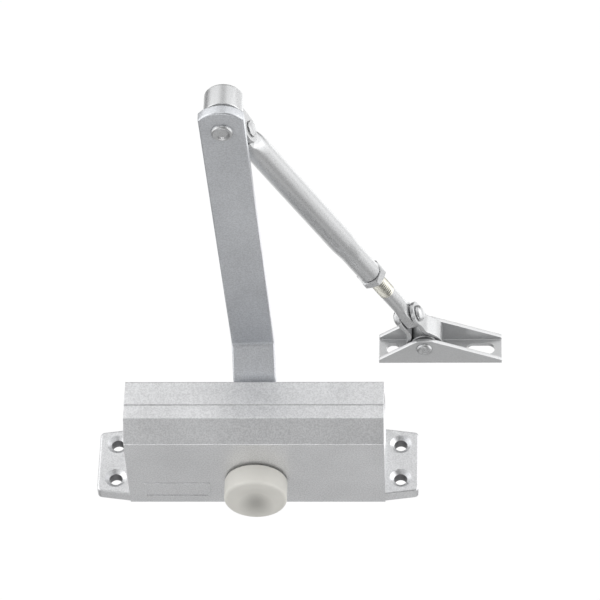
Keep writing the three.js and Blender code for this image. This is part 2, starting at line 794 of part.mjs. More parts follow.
const knuckleGroup = new THREE.Group();
knuckleGroup.position.set(ELBOW_X, ELBOW_Y, 0);
knuckleGroup.rotation.z = -FOREARM_ANGLE;
closer.add(knuckleGroup);

const armTop = ARM_REACH_Z + ARM_THICKNESS;
const washerTop = armTop + GAP + 1;
const elbowWasher = ring(7.6, ELBOW_RIVET_RADIUS + GAP, armTop + GAP, washerTop);
add(knuckleGroup, 'elbow_washer', elbowWasher, silverPaint());

// Side outline of a fork or shackle ear: a strip that ends in a disc about its pin.
function earOutline(from, low, high, pinAt, pinZ, radius) {
  const shape = new THREE.Shape();
  shape.moveTo(from, low);
  shape.lineTo(pinAt, Math.max(low, pinZ - radius));
  shape.absarc(pinAt, pinZ, radius, -Math.PI / 2, Math.PI / 2);
  shape.lineTo(from, high);
  return shape;
}

const ALONG_FOREARM = new THREE.Matrix4().makeBasis(
  new THREE.Vector3(0, 1, 0),
  new THREE.Vector3(0, 0, 1),
  new THREE.Vector3(1, 0, 0),
);

// A pin across the forearm, about X through (y, z).
function crossRivet(radius, half, headRadius, headHeight, y, z) {
  const profile = [[0, -half - headHeight]];
  profile.push([0.7 * headRadius, -half - 0.75 * headHeight]);
  profile.push([headRadius, -half - 0.2 * headHeight]);
  profile.push([headRadius, -half]);
  profile.push([radius, -half]);
  const other = profile.map(([r, x]) => [r, -x]).reverse();
  return turnedAlongX([...profile, ...other], y, z, SMALL_ROUND);
}

function elbowKnuckle() {
  const edge = 0.7;
  const shoulder = 1.5;
  const barrel = turned([
    [0, washerTop + GAP],
    [NECK_RADIUS, washerTop + GAP],
    [NECK_RADIUS, KNUCKLE_BOTTOM],
    [KNUCKLE_RADIUS - edge, KNUCKLE_BOTTOM],
    [KNUCKLE_RADIUS, KNUCKLE_BOTTOM + edge],
    [KNUCKLE_RADIUS, KNUCKLE_TOP - shoulder],
    [KNUCKLE_RADIUS - 1.2, KNUCKLE_TOP],
    [0, KNUCKLE_TOP],
  ]);
  const earLow = FORK_PIN_Z - EAR_RADIUS + 1;
  const earHigh = FORK_PIN_Z + EAR_RADIUS;
  const outline = earOutline(0, earLow, earHigh, FORK_REACH, FORK_PIN_Z, EAR_RADIUS);
  const fork = prism(outline, -FORK_OUTER, FORK_OUTER, ALONG_FOREARM, 8);
  const slot = box(2 * FORK_INNER, 20, 20, 0, FORK_REACH - EAR_RADIUS - 2 + 10, FORK_PIN_Z);
  const boreTop = KNUCKLE_TOP - 5 + GAP;
  const rivetBore = disc(ELBOW_RIVET_RADIUS + GAP, armTop, boreTop);
  const pinBore = discAlongX(CROSS_RIVET_RADIUS + GAP, -10, 10, FORK_REACH, FORK_PIN_Z, SMALL_ROUND);
  return cut(join(barrel, cut(fork, slot)), rivetBore, pinBore);
}

add(knuckleGroup, 'elbow_knuckle', elbowKnuckle(), silverPaint());
const forkRivet = crossRivet(
  CROSS_RIVET_RADIUS,
  FORK_OUTER + GAP,
  FORK_HEAD_RADIUS,
  FORK_HEAD_HEIGHT,
  FORK_REACH,
  FORK_PIN_Z,
);
add(knuckleGroup, 'elbow_cross_rivet', forkRivet, silverPaint());

// ----------------------------------------------------------- forearm, along +Y from the cross rivet

const forearmPlace = new THREE.Group();
forearmPlace.position.set(0, FORK_REACH, FORK_PIN_Z);
forearmPlace.rotation.x = FOREARM_SLOPE;
knuckleGroup.add(forearmPlace);

// A body of revolution about the forearm's axis, from [radius, distance] points.
function turnedAlongForearm(profile, segments = ROUND) {
  const points = profile.map(([radius, along]) => new THREE.Vector2(radius, along));
  return solid(new THREE.LatheGeometry(points, segments));
}

// A flat tongue across a fork's slot, round about its pin, reaching to the given distance.
function tongue(pinAt, reach, thickness, radius) {
  const shape = new THREE.Shape();
  const away = Math.sign(reach - pinAt);
  shape.absarc(pinAt, 0, radius, (away * Math.PI) / 2, (away * 3 * Math.PI) / 2);
  shape.lineTo(reach, -away * radius);
  shape.lineTo(reach, away * radius);
  return prism(shape, -thickness / 2, thickness / 2, ALONG_FOREARM, 8);
}

function forearmTube() {
  const inside = TUBE_RADIUS - TUBE_WALL;
  const throat = ROD_RADIUS + GAP;
  const tube = turnedAlongForearm([
    [0, TUBE_START],
    [TUBE_RADIUS - 1.2, TUBE_START],
    [TUBE_RADIUS, TUBE_START + 2],
    [TUBE_RADIUS, SWAGE_START],
    [NECK_TUBE_RADIUS, SWAGE_END],
    [NECK_TUBE_RADIUS, TUBE_END],
    [throat, TUBE_END],
    [throat, SWAGE_END + 2],
    [inside, SWAGE_START],
    [inside, TUBE_START + 8],
    [0, TUBE_START + 8],
  ]);
  const pinBore = discAlongX(CROSS_RIVET_RADIUS + GAP, -10, 10, 0, 0, SMALL_ROUND);
  return cut(join(tube, tongue(0, TUBE_START + 6, TONGUE_THICKNESS, TONGUE_RADIUS)), pinBore);
}

add(forearmPlace, 'forearm_tube', forearmTube(), silverPaint());

function lockNut() {
  const start = TUBE_END + GAP;
  const corner = NUT_FLATS / Math.sqrt(3);
  const hexagon = new THREE.CylinderGeometry(corner, corner, NUT_THICKNESS, 6);
  hexagon.translate(0, start + NUT_THICKNESS / 2, 0);
  const chamfer = turnedAlongForearm([
    [0, start - 0.2],
    [corner - 0.9, start - 0.2],
    [corner, start + 0.8],
    [corner, start + NUT_THICKNESS - 0.8],
    [corner - 0.9, start + NUT_THICKNESS + 0.2],
    [0, start + NUT_THICKNESS + 0.2],
  ]);
  const hole = turnedAlongForearm([
    [0, start - 1],
    [ROD_RADIUS + GAP, start - 1],
    [ROD_RADIUS + GAP, start + NUT_THICKNESS + 1],
    [0, start + NUT_THICKNESS + 1],
  ]);
  return cut(solid(hexagon).intersect(chamfer), hole);
}

add(forearmPlace, 'lock_nut', lockNut(), zincSteel());

function threadedRod() {
  const rod = turnedAlongForearm([
    [0, ROD_START],
    [ROD_RADIUS - 0.6, ROD_START],
    [ROD_RADIUS, ROD_START + 0.6],
    [ROD_RADIUS, ROD_SHOULDER],
    [ROD_RADIUS - 1.2, ROD_SHOULDER + 2],
    [0, ROD_SHOULDER + 2],
  ]);
  const flat = tongue(FOREARM_LENGTH + ROD_OVERHANG, ROD_SHOULDER - 4, ROD_TONGUE, ROD_TONGUE_RADIUS);
  const pinBore = discAlongX(CROSS_RIVET_RADIUS + GAP, -10, 10, FOREARM_LENGTH, 0, SMALL_ROUND);
  return cut(join(rod, flat), pinBore);
}

add(forearmPlace, 'threaded_rod', threadedRod(), zincSteel());

// ----------------------------------------------------------- foot shackle, about the foot pivot, along -Y

const shackleGroup = new THREE.Group();
shackleGroup.position.set(FOOT_X, FOOT_Y, 0);
shackleGroup.rotation.z = -FOREARM_ANGLE;
closer.add(shackleGroup);

// Half of the strap's middle line in plan, from the ear's end round to the back of the wrap.
function strapMiddle() {
  const lateral = STRAP_INNER + STRAP_THICKNESS / 2;
  const wrap = STRAP_WRAP_RADIUS - STRAP_THICKNESS / 2;
  const bend = SHACKLE_REACH - STRAP_STRAIGHT; // where the parallel ear turns outwards
  const meet = Math.PI / 2 - Math.asin(wrap / Math.hypot(lateral, bend)) + Math.atan2(lateral, bend);
  const onWrap = new THREE.Vector2(wrap * Math.sin(meet), -wrap * Math.cos(meet));
  const corner = new THREE.Vector2(lateral, -bend);
  const before = new THREE.Vector2(lateral, -bend - 2);
  const after = corner.clone().lerp(onWrap, 0.2);
  const points = [new THREE.Vector2(lateral, -SHACKLE_REACH - STRAP_EAR_RADIUS - 1)];
  points.push(...new THREE.QuadraticBezierCurve(before, corner, after).getPoints(5));
  const arc = 12;
  for (let i = 0; i <= arc; i += 1) {
    const angle = meet + ((Math.PI - meet) * i) / arc;
    points.push(new THREE.Vector2(wrap * Math.sin(angle), -wrap * Math.cos(angle)));
  }
  return points;
}

// The strap as a closed plan outline: the middle line and its mirror image, offset both ways.
function strapPlan() {
  const right = strapMiddle();
  const left = right.slice(0, -1).map((point) => new THREE.Vector2(-point.x, point.y)).reverse();
  const line = [...right, ...left];
  const outer = [];
  const inner = [];
  for (let i = 0; i < line.length; i += 1) {
    const before = line[Math.max(i - 1, 0)];
    const after = line[Math.min(i + 1, line.length - 1)];
    const along = after.clone().sub(before).normalize();
    const across = new THREE.Vector2(along.y, -along.x).multiplyScalar(STRAP_THICKNESS / 2);
    outer.push(line[i].clone().add(across));
    inner.push(line[i].clone().sub(across));
  }
  return new THREE.Shape([...outer, ...inner.reverse()]);
}

function footShackle() {
  const strap = prism(strapPlan(), STRAP_LOW - 5, STRAP_HIGH + 5);
  const outline = new THREE.Shape();
  const back = STRAP_WRAP_RADIUS + 1;
  const neck = -SHACKLE_REACH + 4.5;
  outline.moveTo(back, STRAP_LOW);
  outline.lineTo(back, STRAP_HIGH);
  outline.lineTo(neck, STRAP_HIGH);
  outline.absarc(-SHACKLE_REACH, SHACKLE_PIN_Z, STRAP_EAR_RADIUS, Math.PI / 3, (5 * Math.PI) / 3);
  outline.lineTo(neck, STRAP_LOW);
  const side = prism(outline, -20, 20, ALONG_FOREARM, 8);
  const pinBore = discAlongX(CROSS_RIVET_RADIUS + GAP, -10, 10, -SHACKLE_REACH, SHACKLE_PIN_Z, SMALL_ROUND);
  return cut(strap.intersect(side), pinBore);
}

add(shackleGroup, 'foot_shackle', footShackle(), silverPaint());
const strapOuter = STRAP_INNER + STRAP_THICKNESS;
const shackleRivet = crossRivet(
  CROSS_RIVET_RADIUS,
  strapOuter + GAP,
  SHACKLE_HEAD_RADIUS,
  SHACKLE_HEAD_HEIGHT,
  -SHACKLE_REACH,
  SHACKLE_PIN_Z,
);
add(shackleGroup, 'shackle_rivet', shackleRivet, silverPaint());
const bushRadius = STRAP_WRAP_RADIUS - STRAP_THICKNESS - GAP;
const bush = ring(bushRadius, FOOT_RIVET_RADIUS + GAP, STRAP_LOW, STRAP_HIGH);
add(shackleGroup, 'foot_pivot_bush', bush, silverPaint());

// ----------------------------------------------------------- foot bracket

// Plan of a flange, with a rounded apex at the pivot.
function flangePlan() {
  const apexHalf = 3.2;
  const easing = 5;
  const shape = new THREE.Shape();
  shape.moveTo(BRACKET_LEFT, 0);
  shape.lineTo(BRACKET_LEFT, -BRACKET_TIP);
  const leftSlope = (BRACKET_REACH - BRACKET_TIP) / (FOOT_X - apexHalf - BRACKET_LEFT);
  const rightSlope = (BRACKET_REACH - BRACKET_TIP) / (BRACKET_RIGHT - FOOT_X - apexHalf);
  const leftApex = FOOT_X - apexHalf;
  const rightApex = FOOT_X + apexHalf;
  shape.lineTo(leftApex - easing / 2, -BRACKET_REACH + (easing / 2) * leftSlope);
  shape.quadraticCurveTo(leftApex, -BRACKET_REACH, leftApex + easing / 2, -BRACKET_REACH);
  shape.lineTo(rightApex - easing / 2, -BRACKET_REACH);
  const rightEnd = -BRACKET_REACH + easing * rightSlope;
  shape.quadraticCurveTo(rightApex, -BRACKET_REACH, rightApex + easing, rightEnd);
  shape.lineTo(BRACKET_RIGHT, -BRACKET_TIP);
  shape.lineTo(BRACKET_RIGHT, 0);
  return shape;
}

// A screw slot through the base sheet, with round ends.
function slotCut([left, right]) {
  const radius = SLOT_WIDTH / 2;
  const shape = new THREE.Shape();
  shape.absarc(left + radius, SLOT_Z, radius, Math.PI / 2, (3 * Math.PI) / 2);
  shape.absarc(right - radius, SLOT_Z, radius, -Math.PI / 2, Math.PI / 2);
  return prism(shape, -1, BRACKET_SHEET + 1, ALONG_MINUS_Y, 8);
}

function footBracket() {
  const block = prism(flangePlan(), BRACKET_LOW, BRACKET_HIGH, ALONG_Z, 6);
  const length = BRACKET_RIGHT - BRACKET_LEFT + 2;
  const inside = BRACKET_HIGH - BRACKET_LOW - 2 * BRACKET_SHEET;
  const channel = box(
    length,
    BRACKET_REACH,
    inside,
    (BRACKET_LEFT + BRACKET_RIGHT) / 2,
    -BRACKET_SHEET - BRACKET_REACH / 2,
    (BRACKET_LOW + BRACKET_HIGH) / 2,
  );
  const bore = FOOT_RIVET_RADIUS + GAP;
  const pivot = disc(bore, BRACKET_LOW - 1, BRACKET_HIGH + 1, FOOT_X, FOOT_Y, SMALL_ROUND);
  return cut(block, channel, pivot, slotCut(LEFT_SLOT), slotCut(RIGHT_SLOT));
}

add(closer, 'foot_bracket', footBracket(), silverPaint());

function footPivotRivet() {
  const head = 3.85;
  const height = 1.3;
  const low = BRACKET_LOW - GAP;
  const high = BRACKET_HIGH + GAP;
  return turned(
    [
      [0, low - height],
      [0.75 * head, low - 0.85 * height],
      [head, low - 0.3 * height],
      [head, low],
      [FOOT_RIVET_RADIUS, low],
      [FOOT_RIVET_RADIUS, high],
      [head, high],
      [head, high + 0.3 * height],
      [0.75 * head, high + 0.85 * height],
      [0, high + height],
    ],
    FOOT_X,
    FOOT_Y,
    SMALL_ROUND,
  );
}

add(closer, 'foot_pivot_rivet', footPivotRivet(), silverPaint());

export default closer;
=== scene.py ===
"""Looks of a small overhead door closer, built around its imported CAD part.

Lengths are millimetres until a mesh is made. The body's back lies in the plane y = 0, its front
looks along -Y and the pinion stands along +Z.
"""

import json
import math

import bmesh
import bpy
from mathutils import Matrix, Vector


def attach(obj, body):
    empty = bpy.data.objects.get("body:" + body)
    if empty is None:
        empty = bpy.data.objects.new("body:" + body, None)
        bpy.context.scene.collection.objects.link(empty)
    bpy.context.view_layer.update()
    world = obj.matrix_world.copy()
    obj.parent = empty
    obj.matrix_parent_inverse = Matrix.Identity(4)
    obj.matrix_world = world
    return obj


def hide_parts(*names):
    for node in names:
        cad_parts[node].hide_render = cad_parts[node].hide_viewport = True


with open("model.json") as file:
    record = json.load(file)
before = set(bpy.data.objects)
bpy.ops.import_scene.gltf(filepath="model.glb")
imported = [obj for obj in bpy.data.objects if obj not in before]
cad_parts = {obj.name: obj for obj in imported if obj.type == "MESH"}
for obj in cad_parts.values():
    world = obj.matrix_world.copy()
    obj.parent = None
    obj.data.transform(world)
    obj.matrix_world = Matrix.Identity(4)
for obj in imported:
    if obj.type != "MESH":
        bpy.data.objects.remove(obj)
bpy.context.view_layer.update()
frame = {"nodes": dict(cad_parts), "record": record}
scene = bpy.context.scene
MM = 0.001

# ------------------------------------------------------------ camera

LENS = 210.79
SENSOR = 36
FAR_CLIP = 60
CAMERA_AT = (0.090039, -1.347202, -0.928722)

camera_data = bpy.data.cameras.new("photo_camera")
camera_data.lens = LENS
camera_data.sensor_width = SENSOR
camera_data.clip_end = FAR_CLIP
camera = bpy.data.objects.new("photo_camera", camera_data)
scene.collection.objects.link(camera)
right = Vector((0.999059, 0.035847, 0.024412))
up = Vector((0.002327, -0.606376, 0.795175))
back = Vector((0.043307, -0.794370, -0.605889))
turn = Matrix((right, up, back)).transposed().to_4x4()
camera.matrix_world = Matrix.Translation(CAMERA_AT) @ turn
scene.camera = camera

# ------------------------------------------------------------ sizes shared with the CAD part

BODY_END = 59.0
BODY_DEPTH = 55.0
BODY_HALF = 18.7
UPPER_CHAMFER_DEPTH = 17.0
LOWER_CHAMFER_DEPTH = 8.6
PINION_Y = -17.5
BORE_Y = -33.0
ARM_ANGLE = math.radians(2.32)
ARM_LENGTH = 187.65
ELBOW = (-ARM_LENGTH * math.sin(ARM_ANGLE), PINION_Y - ARM_LENGTH * math.cos(ARM_ANGLE))
FOOT = (76.9, -12.2)
FORK_REACH = 17.5
FORK_PIN_Z = 46.0
SHACKLE_REACH = 18.0
SHACKLE_PIN_Z = 67.4
STRAP_STRAIGHT = 9.5
ROD_OVERHANG = 2.6
ROD_TONGUE_RADIUS = 4.6
VALVE_Y = -10.8
VALVE_Z = 9.5
EAR_THICKNESS = 6.5
HOLE_X = 66.0
HOLE_Z = 9.5
HOLE_RADIUS = 3.05
CROSS_BORE = 3.3
PLAN = Vector((FOOT[0] - ELBOW[0], FOOT[1] - ELBOW[1]))
FOREARM_ANGLE = math.atan2(PLAN.x, PLAN.y)
FOREARM_PLAN = PLAN.length - FORK_REACH - SHACKLE_REACH
FOREARM_LENGTH = math.hypot(FOREARM_PLAN, SHACKLE_PIN_Z - FORK_PIN_Z)
FOREARM_SLOPE = math.atan2(SHACKLE_PIN_Z - FORK_PIN_Z, FOREARM_PLAN)


def place(x, y, z, turn_z=0.0):
    return Matrix.Translation((x, y, z)) @ Matrix.Rotation(turn_z, 4, "Z")


# places: the frame's own, and one at each axis that pieces are drawn about
WORLD = Matrix.Identity(4)
AT_PINION = place(0, PINION_Y, 0)
AT_BORE = place(0, BORE_Y, 0)
AT_ARM = place(0, PINION_Y, 0, -ARM_ANGLE)
AT_RIVET = AT_ARM @ place(0, -ARM_LENGTH, 0)
AT_ELBOW = place(ELBOW[0], ELBOW[1], 0, -FOREARM_ANGLE)
AT_FORK_PIN = AT_ELBOW @ place(0, FORK_REACH, FORK_PIN_Z)
AT_FOREARM = AT_FORK_PIN @ Matrix.Rotation(FOREARM_SLOPE, 4, "X")
AT_SHACKLE = place(FOOT[0], FOOT[1], 0, -FOREARM_ANGLE)
AT_SHACKLE_PIN = AT_SHACKLE @ place(0, -SHACKLE_REACH, SHACKLE_PIN_Z)
AT_FOOT = place(FOOT[0], FOOT[1], 0)


def axes(x_row, y_row, z_row):
    return Matrix(((*x_row, 0), (*y_row, 0), (*z_row, 0), (0, 0, 0, 1)))


# how a drawing's x, y and depth, or a lathe's axis, lie in a place's own axes
FLAT = Matrix.Identity(4)
SIDE_ON = axes((0, 0, 1), (1, 0, 0), (0, 1, 0))  # x to Y, y to Z, depth to X
FACE_ON = axes((1, 0, 0), (0, 0, -1), (0, 1, 0))  # x to X, y to Z, depth to -Y
ALONG_ARM = axes((0, 0, 1), (-1, 0, 0), (0, 1, 0))  # x to -Y, y to Z, depth to X
LENGTHWISE = axes((1, 0, 0), (0, 0, 1), (0, -1, 0))  # axis along Y
SIDEWAYS = Matrix.Rotation(math.pi / 2, 4, "Y")  # axis along X
FRONTWARD = Matrix.Rotation(math.pi / 2, 4, "X")  # axis along -Y

# ------------------------------------------------------------ mesh tools


def make(name, bm, where):
    """A linked object from a bmesh drawn in millimetres in a place's axes."""
    bmesh.ops.remove_doubles(bm, verts=bm.verts, dist=1e-4)
    bmesh.ops.recalc_face_normals(bm, faces=bm.faces)
    bm.transform(Matrix.Scale(MM, 4) @ where)
    mesh = bpy.data.meshes.new(name)
    bm.to_mesh(mesh)
    bm.free()
    obj = bpy.data.objects.new(name, mesh)
    scene.collection.objects.link(obj)
    return obj


def lathe(name, profile, where=WORLD, axis=FLAT, segments=64, closed=False):
    """A body of revolution from (radius, height) points. A closed profile is a ring's section."""
    bm = bmesh.new()
    rows = []
    for radius, height in profile:
        if radius < 1e-6:
            rows.append([bm.verts.new((0, 0, height))])
            continue
        row = []
        for i in range(segments):
            angle = 2 * math.pi * i / segments
            row.append(bm.verts.new((radius * math.cos(angle), radius * math.sin(angle), height)))
        rows.append(row)
    pairs = list(zip(rows, rows[1:]))
    if closed:
        pairs.append((rows[-1], rows[0]))
    for low, high in pairs:
        for i in range(segments):
            k = (i + 1) % segments
            if len(low) == 1 and len(high) > 1:
                bm.faces.new((low[0], high[i], high[k]))
            elif len(high) == 1 and len(low) > 1:
                bm.faces.new((low[i], low[k], high[0]))
            elif len(low) > 1:
                bm.faces.new((low[i], low[k], high[k], high[i]))
    return make(name, bm, where @ axis)


def loft(name, sections, where=WORLD):
    """A closed skin over rings of points that all have the same count."""
    bm = bmesh.new()
    rows = [[bm.verts.new(point) for point in section] for section in sections]
    count = len(rows[0])
    for low, high in zip(rows, rows[1:]):
        for i in range(count):
            k = (i + 1) % count
            bm.faces.new((low[i], low[k], high[k], high[i]))
    bm.faces.new(rows[0])
    bm.faces.new(rows[-1])
    return make(name, bm, where)


def prism(name, outline, low, high, where=WORLD, axis=FLAT):
    """A drawn outline pushed from one depth to another."""
    sections = [[(x, y, depth) for x, y in outline] for depth in (low, high)]
    return loft(name, sections, where @ axis)


def mirrored(profile, sign):
    """A lathe profile, turned end for end when sign is -1."""
    return [(radius, sign * height) for radius, height in profile]


def arc(x, y, radius, start, sweep, steps):
    """Points along a circle's arc."""
    points = []
    for i in range(steps + 1):
        angle = start + sweep * i / steps
        points.append((x + radius * math.cos(angle), y + radius * math.sin(angle)))
    return points


def rounded(corners, steps=6):
    """An outline from (x, y, radius) corners."""
    points = []
    count = len(corners)
    for i, (x, y, radius) in enumerate(corners):
        here = Vector((x, y))
        before = (Vector(corners[i - 1][:2]) - here).normalized()
        after = (Vector(corners[(i + 1) % count][:2]) - here).normalized()
        opening = before.angle(after)
        if radius <= 0 or opening > math.pi - 1e-3:
            points.append((x, y))
            continue
        setback = radius / math.tan(opening / 2)
        centre = here + (before + after).normalized() * (radius / math.sin(opening / 2))
        first = here + before * setback - centre
        last = here + after * setback - centre
        sweep = first.angle_signed(last)
        for step in range(steps + 1):
            spoke = first.copy()
            spoke.rotate(Matrix.Rotation(-sweep * step / steps, 2))
            points.append(tuple(centre + spoke))
    return points


def panel(left, low, right, high, radius=0.0, steps=6):
    """A rectangle's outline, with round corners if a radius is given."""
    corners = [(left, low), (right, low), (right, high), (left, high)]
    return rounded([(x, y, radius) for x, y in corners], steps)


def apply(obj):
    """Turns an object's modifiers into mesh."""
    evaluated = obj.evaluated_get(bpy.context.evaluated_depsgraph_get())
    mesh = bpy.data.meshes.new_from_object(evaluated)
    obj.modifiers.clear()
    obj.data = mesh
    return obj


def bevel(obj, width, segments=3, angle=40):
    edge = obj.modifiers.new("edge", "BEVEL")
    edge.width = width * MM
    edge.segments = segments
    edge.limit_method = "ANGLE"
    edge.angle_limit = math.radians(angle)
    return apply(obj)


def combine(obj, operation, others):
    """A boolean with each of the others in turn, which are used up."""
    for other in others:
        step = obj.modifiers.new("step", "BOOLEAN")
        step.operation = operation
        step.solver = "EXACT"
        step.object = other
        apply(obj)
        bpy.data.objects.remove(other)
    return obj


def carve(obj, *cutters):
    return combine(obj, "DIFFERENCE", cutters)


def overlap(obj, *others):
    return combine(obj, "INTERSECT", others)


def merge(name, *parts):
    """One object that holds several shells."""
    bm = bmesh.new()
    for part in parts:
        bm.from_mesh(part.data)
        bpy.data.objects.remove(part)
    mesh = bpy.data.meshes.new(name)
    bm.to_mesh(mesh)
    bm.free()
    obj = bpy.data.objects.new(name, mesh)
    scene.collection.objects.link(obj)
    return obj


def show(obj, body, slot, look, *nodes, sharp=32):
    """Finishes a piece: shading, material, the body it rides on and the CAD nodes it stands for."""
    bm = bmesh.new()
    bm.from_mesh(obj.data)
    bmesh.ops.dissolve_degenerate(bm, edges=bm.edges, dist=1e-7)
    bm.to_mesh(obj.data)
    bm.free()
    obj.data.shade_smooth()
    obj.data.set_sharp_from_angle(angle=math.radians(sharp))
    even = obj.modifiers.new("even", "WEIGHTED_NORMAL")
    even.keep_sharp = True
    even.weight = 60
    apply(obj)
    obj.data.materials.clear()
    obj.data.materials.append(look)
    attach(obj, body)
    if nodes:
        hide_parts(*nodes)
    return obj


# ------------------------------------------------------------ materials


def set_range(ramp, start, end, low, high):
    ramp.inputs["From Min"].default_value = start
    ramp.inputs["From Max"].default_value = end
    ramp.inputs["To Min"].default_value = low
    ramp.inputs["To Max"].default_value = high


class Look:
    """A procedural material about one Principled shader."""

    def __init__(self, name, color, metallic, roughness):
        self.material = bpy.data.materials.new(name)
        self.material.use_nodes = True
        self.tree = self.material.node_tree
        self.shader = self.tree.nodes["Principled BSDF"]
        self.color = color
        self.shader.inputs["Metallic"].default_value = metallic
        self.shader.inputs["Roughness"].default_value = roughness
        self.shader.inputs["Base Color"].default_value = (*color, 1)
        self.coordinates = self.node("ShaderNodeTexCoord").outputs["Object"]

    def node(self, kind, **settings):
        made = self.tree.nodes.new(kind)
        for key, value in settings.items():
            setattr(made, key, value)
        return made

    def link(self, source, target):
        self.tree.links.new(source, target)

    def noise(self, scale, detail=2.0):
        texture = self.node("ShaderNodeTexNoise")
        texture.inputs["Scale"].default_value = scale
        texture.inputs["Detail"].default_value = detail
        self.link(self.coordinates, texture.inputs["Vector"])
        return texture.outputs["Fac"]

    def ranged(self, value, low, high, start=0.3, end=0.7):
        ramp = self.node("ShaderNodeMapRange")
        set_range(ramp, start, end, low, high)
        self.link(value, ramp.inputs["Value"])
        return ramp.outputs["Result"]

    def color_spread(self, value, low, high):
        """Base colour from low to high times the plain colour."""
        mix = self.node("ShaderNodeMix", data_type="RGBA")
        mix.inputs["A"].default_value = (*[min(c * low, 1) for c in self.color], 1)
        mix.inputs["B"].default_value = (*[min(c * high, 1) for c in self.color], 1)
        self.link(value, mix.inputs["Factor"])
        self.link(mix.outputs["Result"], self.shader.inputs["Base Color"])

    def mixed(self, first, second, share):
        mix = self.node("ShaderNodeMix", data_type="FLOAT")
        mix.inputs["Factor"].default_value = share
        self.link(first, mix.inputs["A"])
        self.link(second, mix.inputs["B"])
        return mix.outputs["Result"]

    def rough(self, value, low, high, start=0.3, end=0.7):
        self.link(self.ranged(value, low, high, start, end), self.shader.inputs["Roughness"])

    def bump(self, value, strength, distance):
        bump = self.node("ShaderNodeBump")
        bump.inputs["Strength"].default_value = strength
        bump.inputs["Distance"].default_value = distance * MM
        self.link(value, bump.inputs["Height"])
        self.link(bump.outputs["Normal"], self.shader.inputs["Normal"])


def sprayed_silver(name, color, speckle=0.1, metallic=0.8, roughness=0.36, relief=0.04):
    """Silver metallic spray paint: fine light and dark flakes over a satin coat."""
    look = Look(name, color, metallic, roughness)
    flakes = look.ranged(look.noise(1500, 1.0), 0, 1, 0.32, 0.68)
    cloud = look.ranged(look.noise(45), 0, 1)
    look.color_spread(look.mixed(flakes, cloud, 0.3), 1 - speckle, 1 + speckle)
    look.rough(flakes, roughness - 0.05, roughness + 0.07, 0, 1)
    look.bump(look.noise(1100, 1.0), 0.22, relief)
    return look.material


def bare_metal(name, color, roughness):
    """Plain or plated metal with a fine grain."""
    look = Look(name, color, 1.0, roughness)
    grain = look.noise(700, 3.0)
    cloud = look.ranged(look.noise(60), 0, 1)
    look.color_spread(look.mixed(grain, cloud, 0.5), 0.88, 1.1)
    look.rough(grain, roughness - 0.07, roughness + 0.1)
    look.bump(grain, 0.2, 0.02)
    return look.material


def moulded_rubber():
    look = Look("seal_rubber", (0.03, 0.03, 0.033), 0.0, 0.6)
    cloud = look.ranged(look.noise(90), 0, 1)
    look.color_spread(cloud, 0.97, 1.03)
    grain = look.noise(900)
    look.rough(grain, 0.55, 0.68)
    look.bump(grain, 0.15, 0.03)
    return look.material


# where the shade painted into the cap's bowl is darkest, and how far from there the painted shade
# clears
CAP_SHADE_SPOT = (0, PINION_Y + 5, -27.5)
CAP_SHADE_START = 1.5
CAP_SHADE_END = 9.0


def cap_plastic():
    """Off-white plastic with shade painted into the bowl: the colour darkens towards a spot on the
    bowl's far side.
    """
    look = Look("ivory_plastic", (0.80, 0.785, 0.735), 0.0, 0.4)
    reach = look.node("ShaderNodeVectorMath", operation="DISTANCE")
    look.link(look.coordinates, reach.inputs[0])
    reach.inputs[1].default_value = Vector(CAP_SHADE_SPOT) * MM
    # painted shade: the base colour falls to 0.55 of the plain colour near the spot
    bowl_shade = look.ranged(reach.outputs["Value"], 0, 1, CAP_SHADE_START * MM, CAP_SHADE_END * MM)
    cloud = look.ranged(look.noise(90), 0.9, 1)
    shade = look.node("ShaderNodeMath", operation="MULTIPLY")
    look.link(bowl_shade, shade.inputs[0])
    look.link(cloud, shade.inputs[1])
    look.color_spread(shade.outputs["Value"], 0.55, 1.02)
    grain = look.noise(900)
    look.rough(grain, 0.35, 0.47)
    look.bump(grain, 0.15, 0.03)
    return look.material


body_silver = sprayed_silver("body_silver", (0.79, 0.795, 0.805), 0.15, roughness=0.35)
arm_silver = sprayed_silver("arm_silver", (0.655, 0.67, 0.695), 0.15)
bracket_silver = sprayed_silver("bracket_silver", (0.68, 0.685, 0.69), 0.06, relief=0.02)
joint_silver = sprayed_silver(
    "joint_silver", (0.61, 0.615, 0.62), 0.05, metallic=0.9, roughness=0.32, relief=0.02
)
zinc = bare_metal("zinc_plate", (0.78, 0.77, 0.72), 0.3)
yellow_zinc = bare_metal("thread_zinc", (0.74, 0.725, 0.65), 0.3)
machined = bare_metal("machined_steel", (0.42, 0.43, 0.45), 0.3)
bronze = bare_metal("sintered_bronze", (0.62, 0.46, 0.25), 0.42)
# a dark grey that paints the shade inside the screw holes
hole_shade_look = bare_metal("painted_hole_shade", (0.3, 0.3, 0.31), 0.5)
rubber = moulded_rubber()
ivory = cap_plastic()

# ------------------------------------------------------------ body


